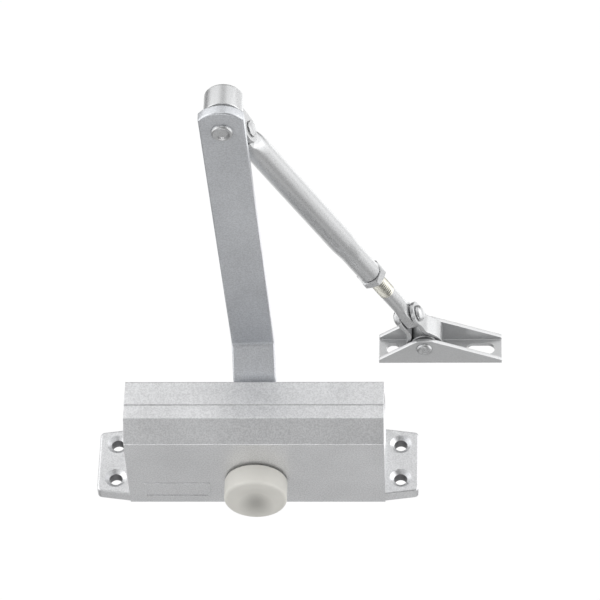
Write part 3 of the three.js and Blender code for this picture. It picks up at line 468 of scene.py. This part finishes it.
def body_block():
    """The casting between the ears: a chamfered bar with a raised band, bored for what it holds."""
    half_front, half_band, band_rise = 10.1, 2.9, 0.6
    face, band = -BODY_DEPTH, -BODY_DEPTH - band_rise
    section = [
        (0, BODY_HALF, 0.4),
        (face + UPPER_CHAMFER_DEPTH, BODY_HALF, 1.0),
        (face, half_front, 1.0),
        (face, half_band, 0.15),
        (band, half_band, 0.25),
        (band, -half_band, 0.25),
        (face, -half_band, 0.1),
        (face, -half_front, 0.8),
        (face + LOWER_CHAMFER_DEPTH, -BODY_HALF, 0.8),
        (0, -BODY_HALF, 0.4),
    ]
    block = prism("block", rounded(section), -BODY_END, BODY_END, axis=SIDE_ON)
    bevel(block, 0.6, 3, 60)
    bore = [(0, -60), (14.1, -60), (14.1, 60), (0, 60)]
    cutters = [lathe("cut", bore, AT_BORE, SIDEWAYS, 96)]
    pinion = [(0, -20), (8.8, -20), (8.8, 20), (0, 20)]
    cutters.append(lathe("cut", pinion, AT_PINION))
    plug = [(0, 51), (15.5, 51), (15.5, 58.3), (16.2, 59), (17.2, 60), (0, 60)]
    gland = [(0, 14.8), (12, 14.8), (12, 18.2), (12.5, 18.7), (13.8, 20), (0, 20)]
    valve = [(0, -39), (3.1, -39), (3.1, -58.5), (3.6, -59), (4.6, -60), (0, -60)]
    for sign in (-1, 1):
        cutters.append(lathe("cut", mirrored(plug, sign), AT_BORE, SIDEWAYS, 96))
        cutters.append(lathe("cut", mirrored(gland, sign), AT_PINION, segments=96))
        cutters.append(lathe("cut", valve, place(0, VALVE_Y, sign * VALVE_Z), SIDEWAYS, 48))
    return carve(block, *cutters)


def ear(sign):
    """A screw ear with two countersunk holes, at the right end when sign is 1."""
    inner, shoulder, outer = 55, 59, 74.5
    root, tip, corner = 18.4, 16.2, 2.4
    upper = [(outer, tip, corner), (shoulder, root, 0), (inner, root, 0)]
    lower = [(x, -z, radius) for x, z, radius in reversed(upper)]
    outline = rounded([(sign * x, z, radius) for x, z, radius in lower + upper])
    plate = prism("ear", outline, 0, EAR_THICKNESS, axis=FACE_ON)
    bevel(plate, 1.1, 4, 60)
    face = EAR_THICKNESS
    hole = [(0, -1), (HOLE_RADIUS, -1), (HOLE_RADIUS, face - 1.55), (3.2, face - 1.35)]
    hole += [(4.9, face - 0.15), (5.2, face), (6.2, face + 0.6), (0, face + 0.6)]
    for z in (-HOLE_Z, HOLE_Z):
        carve(plate, lathe("cut", hole, place(sign * HOLE_X, 0, z), FRONTWARD))
    return plate


casting = merge("closer_casting", body_block(), ear(-1), ear(1))
show(casting, "closer_body", "silver_paint", body_silver, "body_casting")

# dark sleeves inside the screw holes: painted shade on the bores' walls
sleeves = []
wall = [(2.97, 0.1), (3.04, 0.1), (3.04, 4.9), (2.97, 4.9)]
for x in (-HOLE_X, HOLE_X):
    for z in (-HOLE_Z, HOLE_Z):
        sleeves.append(lathe("sleeve", wall, place(x, 0, z), FRONTWARD, closed=True))
show(merge("painted_shade_hole_walls", *sleeves), "closer_body", "silver_paint", hole_shade_look)

# a blank plate with a raised border, cast on the underside
border = panel(-52, -15.6, -21.5, -5, 0.5)
blank = prism("blank_plate", border, -BODY_HALF - 0.45, -BODY_HALF + 0.5)
bevel(blank, 0.12, 2, 60)
recess = panel(-51.2, -14.8, -22.3, -5.8, 0.4)
carve(blank, prism("cut", recess, -BODY_HALF - 1, -BODY_HALF - 0.05))
show(blank, "closer_body", "silver_paint", body_silver)


def end_plug(name, sign):
    """A screwed plug with a hexagon socket, at the right end when sign is 1."""
    profile = [(0, 51.3), (15.2, 51.3), (15.2, 52.7), (13.3, 52.7), (13.3, 55.1), (15.2, 55.1)]
    profile += arc(14.6, 58.0, 0.6, 0, math.pi / 2, 4) + [(0, 58.6)]
    plug = lathe(name, mirrored(profile, sign), AT_BORE, SIDEWAYS, 96)
    socket = [(0, 54.4), (5.8, 54.4), (5.8, 58.2), (6.4, 58.8), (6.4, 60), (0, 60)]
    return carve(plug, lathe("cut", mirrored(socket, sign), AT_BORE, SIDEWAYS, 6))


for side_name, sign in (("left", -1), ("right", 1)):
    plug = end_plug(f"{side_name}_plug", sign)
    show(plug, "closer_body", "silver_paint", body_silver, f"{side_name}_end_plug")

valve_profile = [(0, -58.2), (2.3, -58.2), (2.8, -57.7), (2.8, -53.2), (1.5, -53.2), (1.5, -51.2)]
valve_profile += [(2.8, -51.2), (2.8, -45.2), (0, -40.2)]
driver_slot = panel(-59, -0.5, -57, 0.5)
for valve_name, sign in (("closing", 1), ("latching", -1)):
    where = place(0, VALVE_Y, sign * VALVE_Z)
    screw = lathe(f"{valve_name}_screw", valve_profile, where, SIDEWAYS, 48)
    carve(screw, prism("cut", driver_slot, -4, 4, where))
    show(screw, f"{valve_name}_valve", "zinc_steel", zinc, f"{valve_name}_valve_screw")

gland_profile = [(9.3, 15.1), (11.7, 15.1), (11.7, 18.8), (11.3, 19.2), (6.8, 19.2), (6.5, 18.9)]
gland_profile += [(6.5, 17.9), (9.3, 17.9)]
key_hole = [(0, 18.2), (1.0, 18.2), (1.0, 20), (0, 20)]
KEY_CIRCLE = 9.2
for gland_name, sign in (("lower", -1), ("upper", 1)):
    gland = lathe(f"{gland_name}_gland", mirrored(gland_profile, sign), AT_PINION, closed=True)
    for quarter in range(4):
        angle = math.radians(45 + 90 * quarter)
        at = AT_PINION @ place(KEY_CIRCLE * math.cos(angle), KEY_CIRCLE * math.sin(angle), 0)
        carve(gland, lathe("cut", mirrored(key_hole, sign), at, segments=24))
    show(gland, "closer_body", "zinc_steel", zinc, f"{gland_name}_gland_nut")

# ------------------------------------------------------------ spindle cap

CAP_BOTTOM = -29.8
BOWL_RADIUS = 11.2
BOWL_DEPTH = 2.6
BOWL_STEPS = 12

cap_profile = [(6.3, -19.5), (14.0, -19.5), (14.3, -19.75), (14.4, -20.2), (14.45, -24)]
cap_profile += [(14.38, -28.5), (14.25, -28.95), (13.95, -29.35), (13.5, -29.62)]
cap_profile += [(12.9, -29.77), (12.2, CAP_BOTTOM)]
for step in range(BOWL_STEPS + 1):
    radius = BOWL_RADIUS * (1 - step / BOWL_STEPS)
    swell = (1 + math.cos(math.pi * radius / BOWL_RADIUS)) / 2
    cap_profile.append((radius, CAP_BOTTOM + BOWL_DEPTH * swell))
cap_profile += [(0, -25.6), (6.3, -25.6)]
cap = lathe("cap", cap_profile, AT_PINION, segments=96, closed=True)
show(cap, "spindle_and_arm", "ivory_plastic", ivory, "spindle_cap", sharp=50)

# ------------------------------------------------------------ main arm


def arm_side():
    """Side outline of the cranked bar, as (distance from the pinion, height) corners."""
    low, high, thick, start = 20.5, 32.2, 5.0, 25.3
    rise = high - low
    drift = thick * math.tan(math.pi / 8)
    corners = [(-20, low, 0), (start, low, 7), (start + rise, high, 4), (220, high, 0)]
    corners += [(220, high + thick, 0), (start + rise - drift, high + thick, 7)]
    corners += [(start - drift, low + thick, 4), (-20, low + thick, 0)]
    return rounded(corners, 8)


def arm_plan():
    """Plan outline of the arm: a round end over the pinion and a wider arc at the elbow."""
    half, tip = 9.8, 12.4
    start = math.acos(half / tip)
    near = arc(0, 0, half, 0, math.pi, 32)
    return near + arc(0, -ARM_LENGTH, tip, math.pi + start, math.pi - 2 * start, 48)


bar = prism("arm", arm_side(), -13, 13, AT_ARM, ALONG_ARM)
overlap(bar, prism("cut", arm_plan(), 0, 60, AT_ARM))
bevel(bar, 0.8, 3, 50)
carve(bar, prism("cut", panel(-4.4, -4.4, 4.4, 4.4), 10, 28, AT_ARM))
carve(bar, lathe("cut", [(0, 28), (4.3, 28), (4.3, 42), (0, 42)], AT_RIVET))
show(bar, "spindle_and_arm", "silver_paint", arm_silver, "main_arm")

washer_profile = [(2.9, 25.8), (6.3, 25.8), (6.6, 26.1), (6.6, 26.7), (6.3, 27.0), (2.9, 27.0)]
washer = lathe("washer", washer_profile, AT_ARM, closed=True)
show(washer, "spindle_and_arm", "zinc_steel", zinc, "arm_washer")

screw_profile = [(0, 16.2), (2.4, 16.2), (2.4, 27.3), (4.5, 27.3), (4.8, 27.6), (4.8, 30.3)]
screw_profile += [(4.2, 30.9), (0, 30.9)]
screw = lathe("screw", screw_profile, AT_ARM)
hex_socket = [(0, 28.4), (2.4, 28.4), (2.4, 30.6), (2.8, 31), (2.8, 32), (0, 32)]
carve(screw, lathe("cut", hex_socket, AT_ARM, segments=6))
show(screw, "spindle_and_arm", "zinc_steel", zinc, "arm_screw")

# ------------------------------------------------------------ elbow

rivet_profile = [(0, 31.35), (2.1, 31.35), (2.6, 31.25), (3.0, 31.0), (3.4, 30.8), (3.8, 30.7)]
rivet_profile += [(4.2, 30.8), (4.6, 31.15), (4.8, 31.7), (4.85, 32.15), (4, 32.15), (4, 48.1)]
rivet_profile.append((0, 48.1))
elbow_rivet = lathe("elbow_pin", rivet_profile, AT_RIVET)
show(elbow_rivet, "spindle_and_arm", "silver_paint", joint_silver, "elbow_rivet", sharp=60)
spacer_profile = [(4.3, 37.5), (7.4, 37.5), (7.6, 37.7), (7.6, 38.3), (7.4, 38.5), (4.3, 38.5)]
spacer = lathe("elbow_spacer", spacer_profile, AT_ELBOW, closed=True)
show(spacer, "spindle_and_arm", "silver_paint", joint_silver, "elbow_washer")


def pin_way(where):
    return lathe("cut", [(0, -9), (CROSS_BORE, -9), (CROSS_BORE, 9), (0, 9)], where, SIDEWAYS)


def knuckle_shell():
    """A capped barrel round the elbow rivet, with a fork for the forearm's eye."""
    profile = [(4.3, 38.8), (6.4, 38.8), (6.6, 39.0), (6.6, 40.8), (6.9, 41.0), (7.9, 41.0)]
    profile += [(8.3, 41.2), (8.5, 41.6), (8.5, 51.5), (8.4, 51.8), (7.6, 52.8), (7.2, 53.05)]
    profile += [(6.8, 53.1), (0, 53.1), (0, 48.4), (4.3, 48.4)]
    barrel = lathe("barrel", profile, AT_ELBOW, closed=True)
    root, low, high = 6.6, 41.0, 52.0
    outline = [(root, low)]
    outline += arc(FORK_REACH, FORK_PIN_Z, 6.0, -math.pi / 2, math.pi, 24) + [(root, high)]
    ears = prism("ears", outline, -4.7, 4.7, AT_ELBOW, SIDE_ON)
    bevel(ears, 0.55, 3, 60)
    slot = prism("cut", panel(9.3, 30, 30, 60), -2.7, 2.7, AT_ELBOW, SIDE_ON)
    carve(ears, slot, pin_way(AT_FORK_PIN))
    return merge("knuckle", barrel, ears)


show(knuckle_shell(), "knuckle", "silver_paint", joint_silver, "elbow_knuckle")


def cross_pin(name, where, half, head):
    """A rivet across a fork, with a head of (radius, height) profile points at both ends."""
    end = [(r, half + h) for r, h in head]
    other = [(r, -h) for r, h in reversed(end)]
    return lathe(name, other + [(3.0, -half), (3.0, half)] + end, where, SIDEWAYS, 64)


flat_head = [(3.7, 0), (3.7, 0.2), (3.55, 0.42), (3.3, 0.5), (3.05, 0.42), (2.85, 0.3), (2.6, 0.36)]
flat_head += [(2.3, 0.48), (0, 0.5)]
elbow_cross = cross_pin("elbow_cross_pin", AT_FORK_PIN, 5.0, flat_head)
show(elbow_cross, "knuckle", "silver_paint", joint_silver, "elbow_cross_rivet", sharp=60)

# ------------------------------------------------------------ forearm


def oval(across, tall, power, along, count=48):
    """A ring of points across the forearm, from flat-sided to round as power falls to 2."""
    ring = []
    for i in range(count):
        angle = 2 * math.pi * i / count
        c, s = math.cos(angle), math.sin(angle)
        x = across * math.copysign(abs(c) ** (2 / power), c)
        z = tall * math.copysign(abs(s) ** (2 / power), s)
        ring.append((x, along, z))
    return ring


def eye(name, where, radius, half):
    edge = 0.5
    profile = [(CROSS_BORE, -half), (radius - edge, -half), (radius, edge - half)]
    profile += [(radius, half - edge), (radius - edge, half), (CROSS_BORE, half)]
    return lathe(name, profile, where, SIDEWAYS, 64, closed=True)


def tube_shell():
    """A tube pressed flat into an eye at the elbow and drawn a little thinner at the nut."""
    flat = [(3.6, 2.4, 5.2, 7), (6.6, 2.4, 5.22, 7), (7.6, 2.9, 5.25, 5.5), (8.7, 3.9, 5.35, 3.4)]
    flat += [(9.9, 4.8, 5.5, 2.6), (11.2, 5.4, 5.7, 2.2), (13, 5.8, 5.85, 2.05)]
    flat += [(15, 5.88, 5.88, 2.0), (16, 5.9, 5.9, 2.0)]
    pressed = loft("pressed", [oval(a, t, p, y) for y, a, t, p in flat], AT_FOREARM)
    wide, narrow, swage_start, swage_length, steps = 5.9, 5.3, 99, 14, 12
    swage = []
    for i in range(steps + 1):
        share = i / steps
        ease = share * share * (3 - 2 * share)
        swage.append((wide - (wide - narrow) * ease, swage_start + swage_length * share))
    profile = [(4.8, 15.5), (5.88, 15.5), (wide, 16)] + swage
    profile += [(narrow, 131.1), (5.1, 131.5), (4.3, 131.5), (4.1, 131.3), (4.1, 115), (4.8, 99)]
    pipe = lathe("pipe", profile, AT_FOREARM, LENGTHWISE, 96, closed=True)
    return merge("tube", eye("tube_eye", AT_FOREARM, 5.2, 2.4), pressed, pipe)


show(tube_shell(), "forearm", "silver_paint", joint_silver, "forearm_tube")


def nut_shell():
    """A hexagon with turned corners and a chamfered hole."""
    low, high, across_flats = 131.8, 136.1, 11.6
    corner = across_flats / math.sqrt(3)
    outline = [(0, low), (corner, low), (corner, high), (0, high)]
    hexagon = lathe("nut", outline, AT_FOREARM, LENGTHWISE, 6)
    turned = [(0, low), (corner - 0.9, low), (corner + 0.1, low + 0.7), (corner + 0.1, high - 0.7)]
    turned += [(corner - 0.9, high), (0, high)]
    overlap(hexagon, lathe("cut", turned, AT_FOREARM, LENGTHWISE, 96))
    bevel(hexagon, 0.15, 2, 25)
    hole = [(0, low - 1), (5.1, low - 1), (4.1, low + 0.4), (4.1, high - 0.4), (5.1, high + 1)]
    hole.append((0, high + 1))
    return carve(hexagon, lathe("cut", hole, AT_FOREARM, LENGTHWISE))


show(nut_shell(), "rod_lock_nut", "zinc_steel", joint_silver, "lock_nut")


def thread(radius, depth, pitch, low, high, count=32):
    """A helical thread as a skin of rings along the forearm."""
    rings_per_turn = 6
    steps = int((high - low) / pitch * rings_per_turn)
    rings = []
    for step in range(steps + 1):
        along = low + (high - low) * step / steps
        ends = min(1.0, (along - low) / pitch, (high - along) / pitch)
        ring = []
        for i in range(count):
            share = (along / pitch - i / count) % 1.0
            groove = depth * ends * 0.5 * (1 + math.cos(2 * math.pi * share))
            angle = 2 * math.pi * i / count
            r = radius - groove
            ring.append((r * math.cos(angle), along, r * math.sin(angle)))
        rings.append(ring)
    return loft("thread", rings, AT_FOREARM)


def rod_shell():
    """The rod's bare shank, pressed flat into a tongue with a round end."""
    half_tongue = 2.42
    shank_profile = [(0, 150.4), (3.5, 150.4), (3.8, 150.9), (3.8, 161), (0, 161)]
    shank = lathe("shank", shank_profile, AT_FOREARM, LENGTHWISE)
    flat = [(160, 3.8, 3.8, 2.0), (164, 3.75, 3.82, 2.05), (166.2, 3.4, 4.0, 2.4)]
    flat += [(168, 2.75, 4.4, 4), (169.2, 2.45, 4.55, 6)]
    flat += [(along, half_tongue, ROD_TONGUE_RADIUS, 7) for along in (171, 173)]
    pressed = loft("pressed", [oval(a, t, p, y) for y, a, t, p in flat], AT_FOREARM)
    outline = [(171.5, -ROD_TONGUE_RADIUS), (171.5, ROD_TONGUE_RADIUS)]
    end = FOREARM_LENGTH + ROD_OVERHANG
    outline += arc(end, 0, ROD_TONGUE_RADIUS, math.pi / 2, -math.pi, 32)
    tongue = prism("tongue", outline[::-1], -half_tongue, half_tongue, AT_FOREARM, SIDE_ON)
    bevel(tongue, 0.4, 3, 60)
    carve(tongue, pin_way(AT_FOREARM @ place(0, FOREARM_LENGTH, 0)))
    return merge("rod", shank, pressed, tongue)


show(rod_shell(), "adjusting_rod", "zinc_steel", joint_silver, "threaded_rod")
thread_piece = thread(3.8, 0.75, 1.4, 88.5, 150.6)
show(thread_piece, "adjusting_rod", "zinc_steel", yellow_zinc, sharp=80)

# ------------------------------------------------------------ foot


def strap_plan():
    """Plan outline of the strap: parallel ears that open into a wrap round the foot's bush."""
    lateral, wrap, half = 3.8, 7.6, 1.0
    bend = SHACKLE_REACH - STRAP_STRAIGHT
    meet = math.pi / 2 - math.asin(wrap / math.hypot(lateral, bend)) + math.atan2(lateral, bend)
    corner = Vector((lateral, -bend))
    before = Vector((lateral, -bend - 2))
    after = corner.lerp(Vector((wrap * math.sin(meet), -wrap * math.cos(meet))), 0.2)
    line = [Vector((lateral, -25))]
    for i in range(9):
        t = i / 8
        line.append((1 - t) ** 2 * before + 2 * t * (1 - t) * corner + t * t * after)
    for i in range(29):
        angle = meet + (math.pi - meet) * i / 28
        line.append(Vector((wrap * math.sin(angle), -wrap * math.cos(angle))))
    line += [Vector((-p.x, p.y)) for p in reversed(line[:-1])]
    outer, inner = [], []
    for i, point in enumerate(line):
        along = (line[min(i + 1, len(line) - 1)] - line[max(i - 1, 0)]).normalized()
        across = Vector((along.y, -along.x)) * half
        outer.append(tuple(point + across))
        inner.append(tuple(point - across))
    return outer + inner[::-1]


def shackle_shell():
    """The bent strap, trimmed from the side to round ears."""
    strap = prism("shackle", strap_plan(), 58, 80, AT_SHACKLE)
    back, neck, low, high, ear_radius = 9.6, -SHACKLE_REACH + 5.2, 62.9, 73.3, 5.8
    start, sweep = math.radians(62), math.radians(236)
    outline = [(back, low), (back, high), (neck, high)]
    outline += arc(-SHACKLE_REACH, SHACKLE_PIN_Z, ear_radius, start, sweep, 24)
    outline.append((neck, low))
    overlap(strap, prism("cut", outline, -20, 20, AT_SHACKLE, SIDE_ON))
    bevel(strap, 0.35, 3, 50)
    return carve(strap, pin_way(AT_SHACKLE_PIN))


show(shackle_shell(), "shackle", "silver_paint", joint_silver, "foot_shackle")
dome_head = [(3.9, 0), (3.9, 0.25), (3.75, 0.8), (3.35, 1.35), (2.7, 1.8), (1.8, 2.08)]
dome_head += [(0.9, 2.18), (0, 2.2)]
shackle_cross = cross_pin("shackle_pin", AT_SHACKLE_PIN, 5.1, dome_head)
show(shackle_cross, "shackle", "silver_paint", joint_silver, "shackle_rivet", sharp=60)
bush_profile = [(2.9, 62.9), (6.0, 62.9), (6.3, 63.2), (6.3, 73.0), (6.0, 73.3), (2.9, 73.3)]
bush = lathe("bush", bush_profile, AT_FOOT, closed=True)
show(bush, "shackle", "silver_paint", joint_silver, "foot_pivot_bush")


def bracket_shell():
    """A channel of folded sheet whose flanges taper to both ends, with two slots in its base."""
    low, high, sheet, reach = 60.3, 75.6, 2.0, 17.8
    past = -reach - 2
    corners = [(0, low, 1.6), (0, high, 1.6), (past, high, 0), (past, high - sheet, 0)]
    corners += [(-sheet, high - sheet, 0.5), (-sheet, low + sheet, 0.5)]
    corners += [(past, low + sheet, 0), (past, low, 0)]
    channel = prism("bracket", rounded(corners), 54, 115, axis=SIDE_ON)
    left_end, right_end, tip = 55.2, 113.5, 3.2
    plan = [(left_end, 2, 0), (left_end, -tip, 0.9), (73.7, -reach, 5), (80.1, -reach, 5)]
    plan += [(right_end, -tip, 0.9), (right_end, 2, 0)]
    overlap(channel, prism("cut", rounded(plan, 8), 50, 90))
    bevel(channel, 0.3, 2, 50)
    slot_low, slot_high, slot_radius = 64.9, 71.1, 3.09
    for start, end in ((58.7, 65.4), (96.9, 110.2)):
        slot = panel(start, slot_low, end, slot_high, slot_radius, 12)
        carve(channel, prism("cut", slot, -1, 4, axis=FACE_ON))
    return carve(channel, lathe("cut", [(0, 60), (2.9, 60), (2.9, 80), (0, 80)], AT_FOOT))


show(bracket_shell(), "foot", "silver_paint", bracket_silver, "foot_bracket")
spun_head = [(0, 1.3), (0.6, 1.25), (1.0, 1.08), (1.5, 1.02), (2.0, 1.15), (2.4, 1.28), (2.8, 1.25)]
spun_head += [(3.3, 1.0), (3.7, 0.5), (3.85, 0.1), (3.85, -0.25)]
foot_profile = [(r, 60 - h) for r, h in spun_head] + [(2.6, 60.25), (2.6, 75.65)]
foot_profile += [(r, 75.9 + h) for r, h in reversed(spun_head)]
foot_rivet = lathe("foot_pin", foot_profile, AT_FOOT)
show(foot_rivet, "foot", "silver_paint", joint_silver, "foot_pivot_rivet", sharp=60)

# ------------------------------------------------------------ CAD nodes that show as they are

finishes = {"machined_steel": machined, "bronze": bronze, "seal_rubber": rubber, "zinc_steel": zinc}
slots = {item["node"]: item["material_slot"] for item in frame["record"]["subparts"]}
for name, node in frame["nodes"].items():
    if node.hide_render:
        continue
    node.data.materials.clear()
    node.data.materials.append(finishes[slots[name]])
    node.data.shade_smooth()
    node.data.set_sharp_from_angle(angle=math.radians(32))

# ------------------------------------------------------------ studio

FLOOR_RADIUS = 9.0
FLOOR_Z = -2.2

floor = bpy.data.objects.new("floor", bpy.data.meshes.new("floor"))
disc = bmesh.new()
bmesh.ops.create_circle(disc, cap_ends=True, segments=64, radius=FLOOR_RADIUS)
disc.to_mesh(floor.data)
disc.free()
scene.collection.objects.link(floor)
floor.location = (0, 0, FLOOR_Z)
paper = Look("floor_paper", (0.8, 0.8, 0.8), 0.0, 0.8)
paper.color_spread(paper.noise(3), 0.98, 1.02)
floor.data.materials.append(paper.material)
for sight in ("diffuse", "glossy", "transmission", "shadow"):
    setattr(floor, f"visible_{sight}", False)  # the studio's glow alone lights the object

world = bpy.data.worlds.new("studio")
world.use_nodes = True
scene.world = world
tree = world.node_tree
background = tree.nodes["Background"]
direction = tree.nodes.new("ShaderNodeTexCoord").outputs["Generated"]


def lobe(aim, start, end, strength):
    """Brightness that rises smoothly as a ray nears the aim, from its cosine with it."""
    dot = tree.nodes.new("ShaderNodeVectorMath")
    dot.operation = "DOT_PRODUCT"
    dot.inputs[1].default_value = Vector(aim).normalized()
    tree.links.new(direction, dot.inputs[0])
    ramp = tree.nodes.new("ShaderNodeMapRange")
    ramp.interpolation_type = "SMOOTHSTEP"
    set_range(ramp, start, end, 0, strength)
    tree.links.new(dot.outputs["Value"], ramp.inputs["Value"])
    return ramp.outputs["Result"]


# aim, cosine where the glow starts, cosine where it is full, strength
STUDIO = [
    ((-0.043, 0.794, 0.606), 0.7, 0.93, 0.93),  # lit backdrop behind the object
    ((-0.04, 0.79, -0.61), 0.8, 0.98, 0.45),  # its foot
    ((-0.5, 0.85, 0.1), 0.8, 0.97, 0.17),  # its left part
    ((0.62, 0.53, 0.58), 0.8, 0.97, 0.85),  # its right part
    ((0.63, 0.64, -0.43), 0.8, 0.97, 0.36),
    ((-0.04, -0.79, 0.61), 0.7, 0.97, 0.6),  # large soft light above the front
    ((0.7, -0.6, 0.4), 0.75, 0.97, 0.92),  # its right and left wings
    ((-0.7, -0.6, 0.4), 0.75, 0.97, 0.85),
    ((-0.04, -0.99, -0.13), 0.93, 0.985, 1.1),  # strip level with the front
    ((-0.04, -0.61, -0.79), 0.88, 0.985, 0.1),  # under the camera
    ((-0.55, -0.5, -0.67), 0.8, 0.97, 0.7),
    ((-0.04, 0.14, -0.975), 0.965, 0.99, 2.4),  # strip under the object
    ((1, -0.2, 0), 0.6, 0.95, 1.35),  # side lights
    ((-1, -0.2, 0), 0.6, 0.95, 1.25),
    ((0.8, 0, -0.6), 0.8, 0.97, 0.5),
    ((-0.8, 0, -0.6), 0.8, 0.97, 0.3),
]
EVERYWHERE = 0.085  # strength of the light that comes from all round

total = tree.nodes.new("ShaderNodeValue").outputs["Value"]
total.default_value = EVERYWHERE
for glow in STUDIO:
    add = tree.nodes.new("ShaderNodeMath")
    tree.links.new(total, add.inputs[0])
    tree.links.new(lobe(*glow), add.inputs[1])
    total = add.outputs["Value"]
tree.links.new(total, background.inputs["Strength"])
background.inputs["Color"].default_value = (1, 1, 1, 1)


def area_light(name, at, aim, size, power):
    data = bpy.data.lights.new(name, "AREA")
    data.shape = "DISK"
    data.size = size
    data.energy = power
    lamp = bpy.data.objects.new(name, data)
    scene.collection.objects.link(lamp)
    lamp.location = at
    lamp.rotation_euler = (Vector(aim) - Vector(at)).to_track_quat("-Z", "Y").to_euler()


area_light("side", at=(2.4, -0.6, 0.6), aim=(0, -0.05, 0), size=1.0, power=1.5)

scene.view_settings.view_transform = "Standard"
scene.view_settings.look = "None"
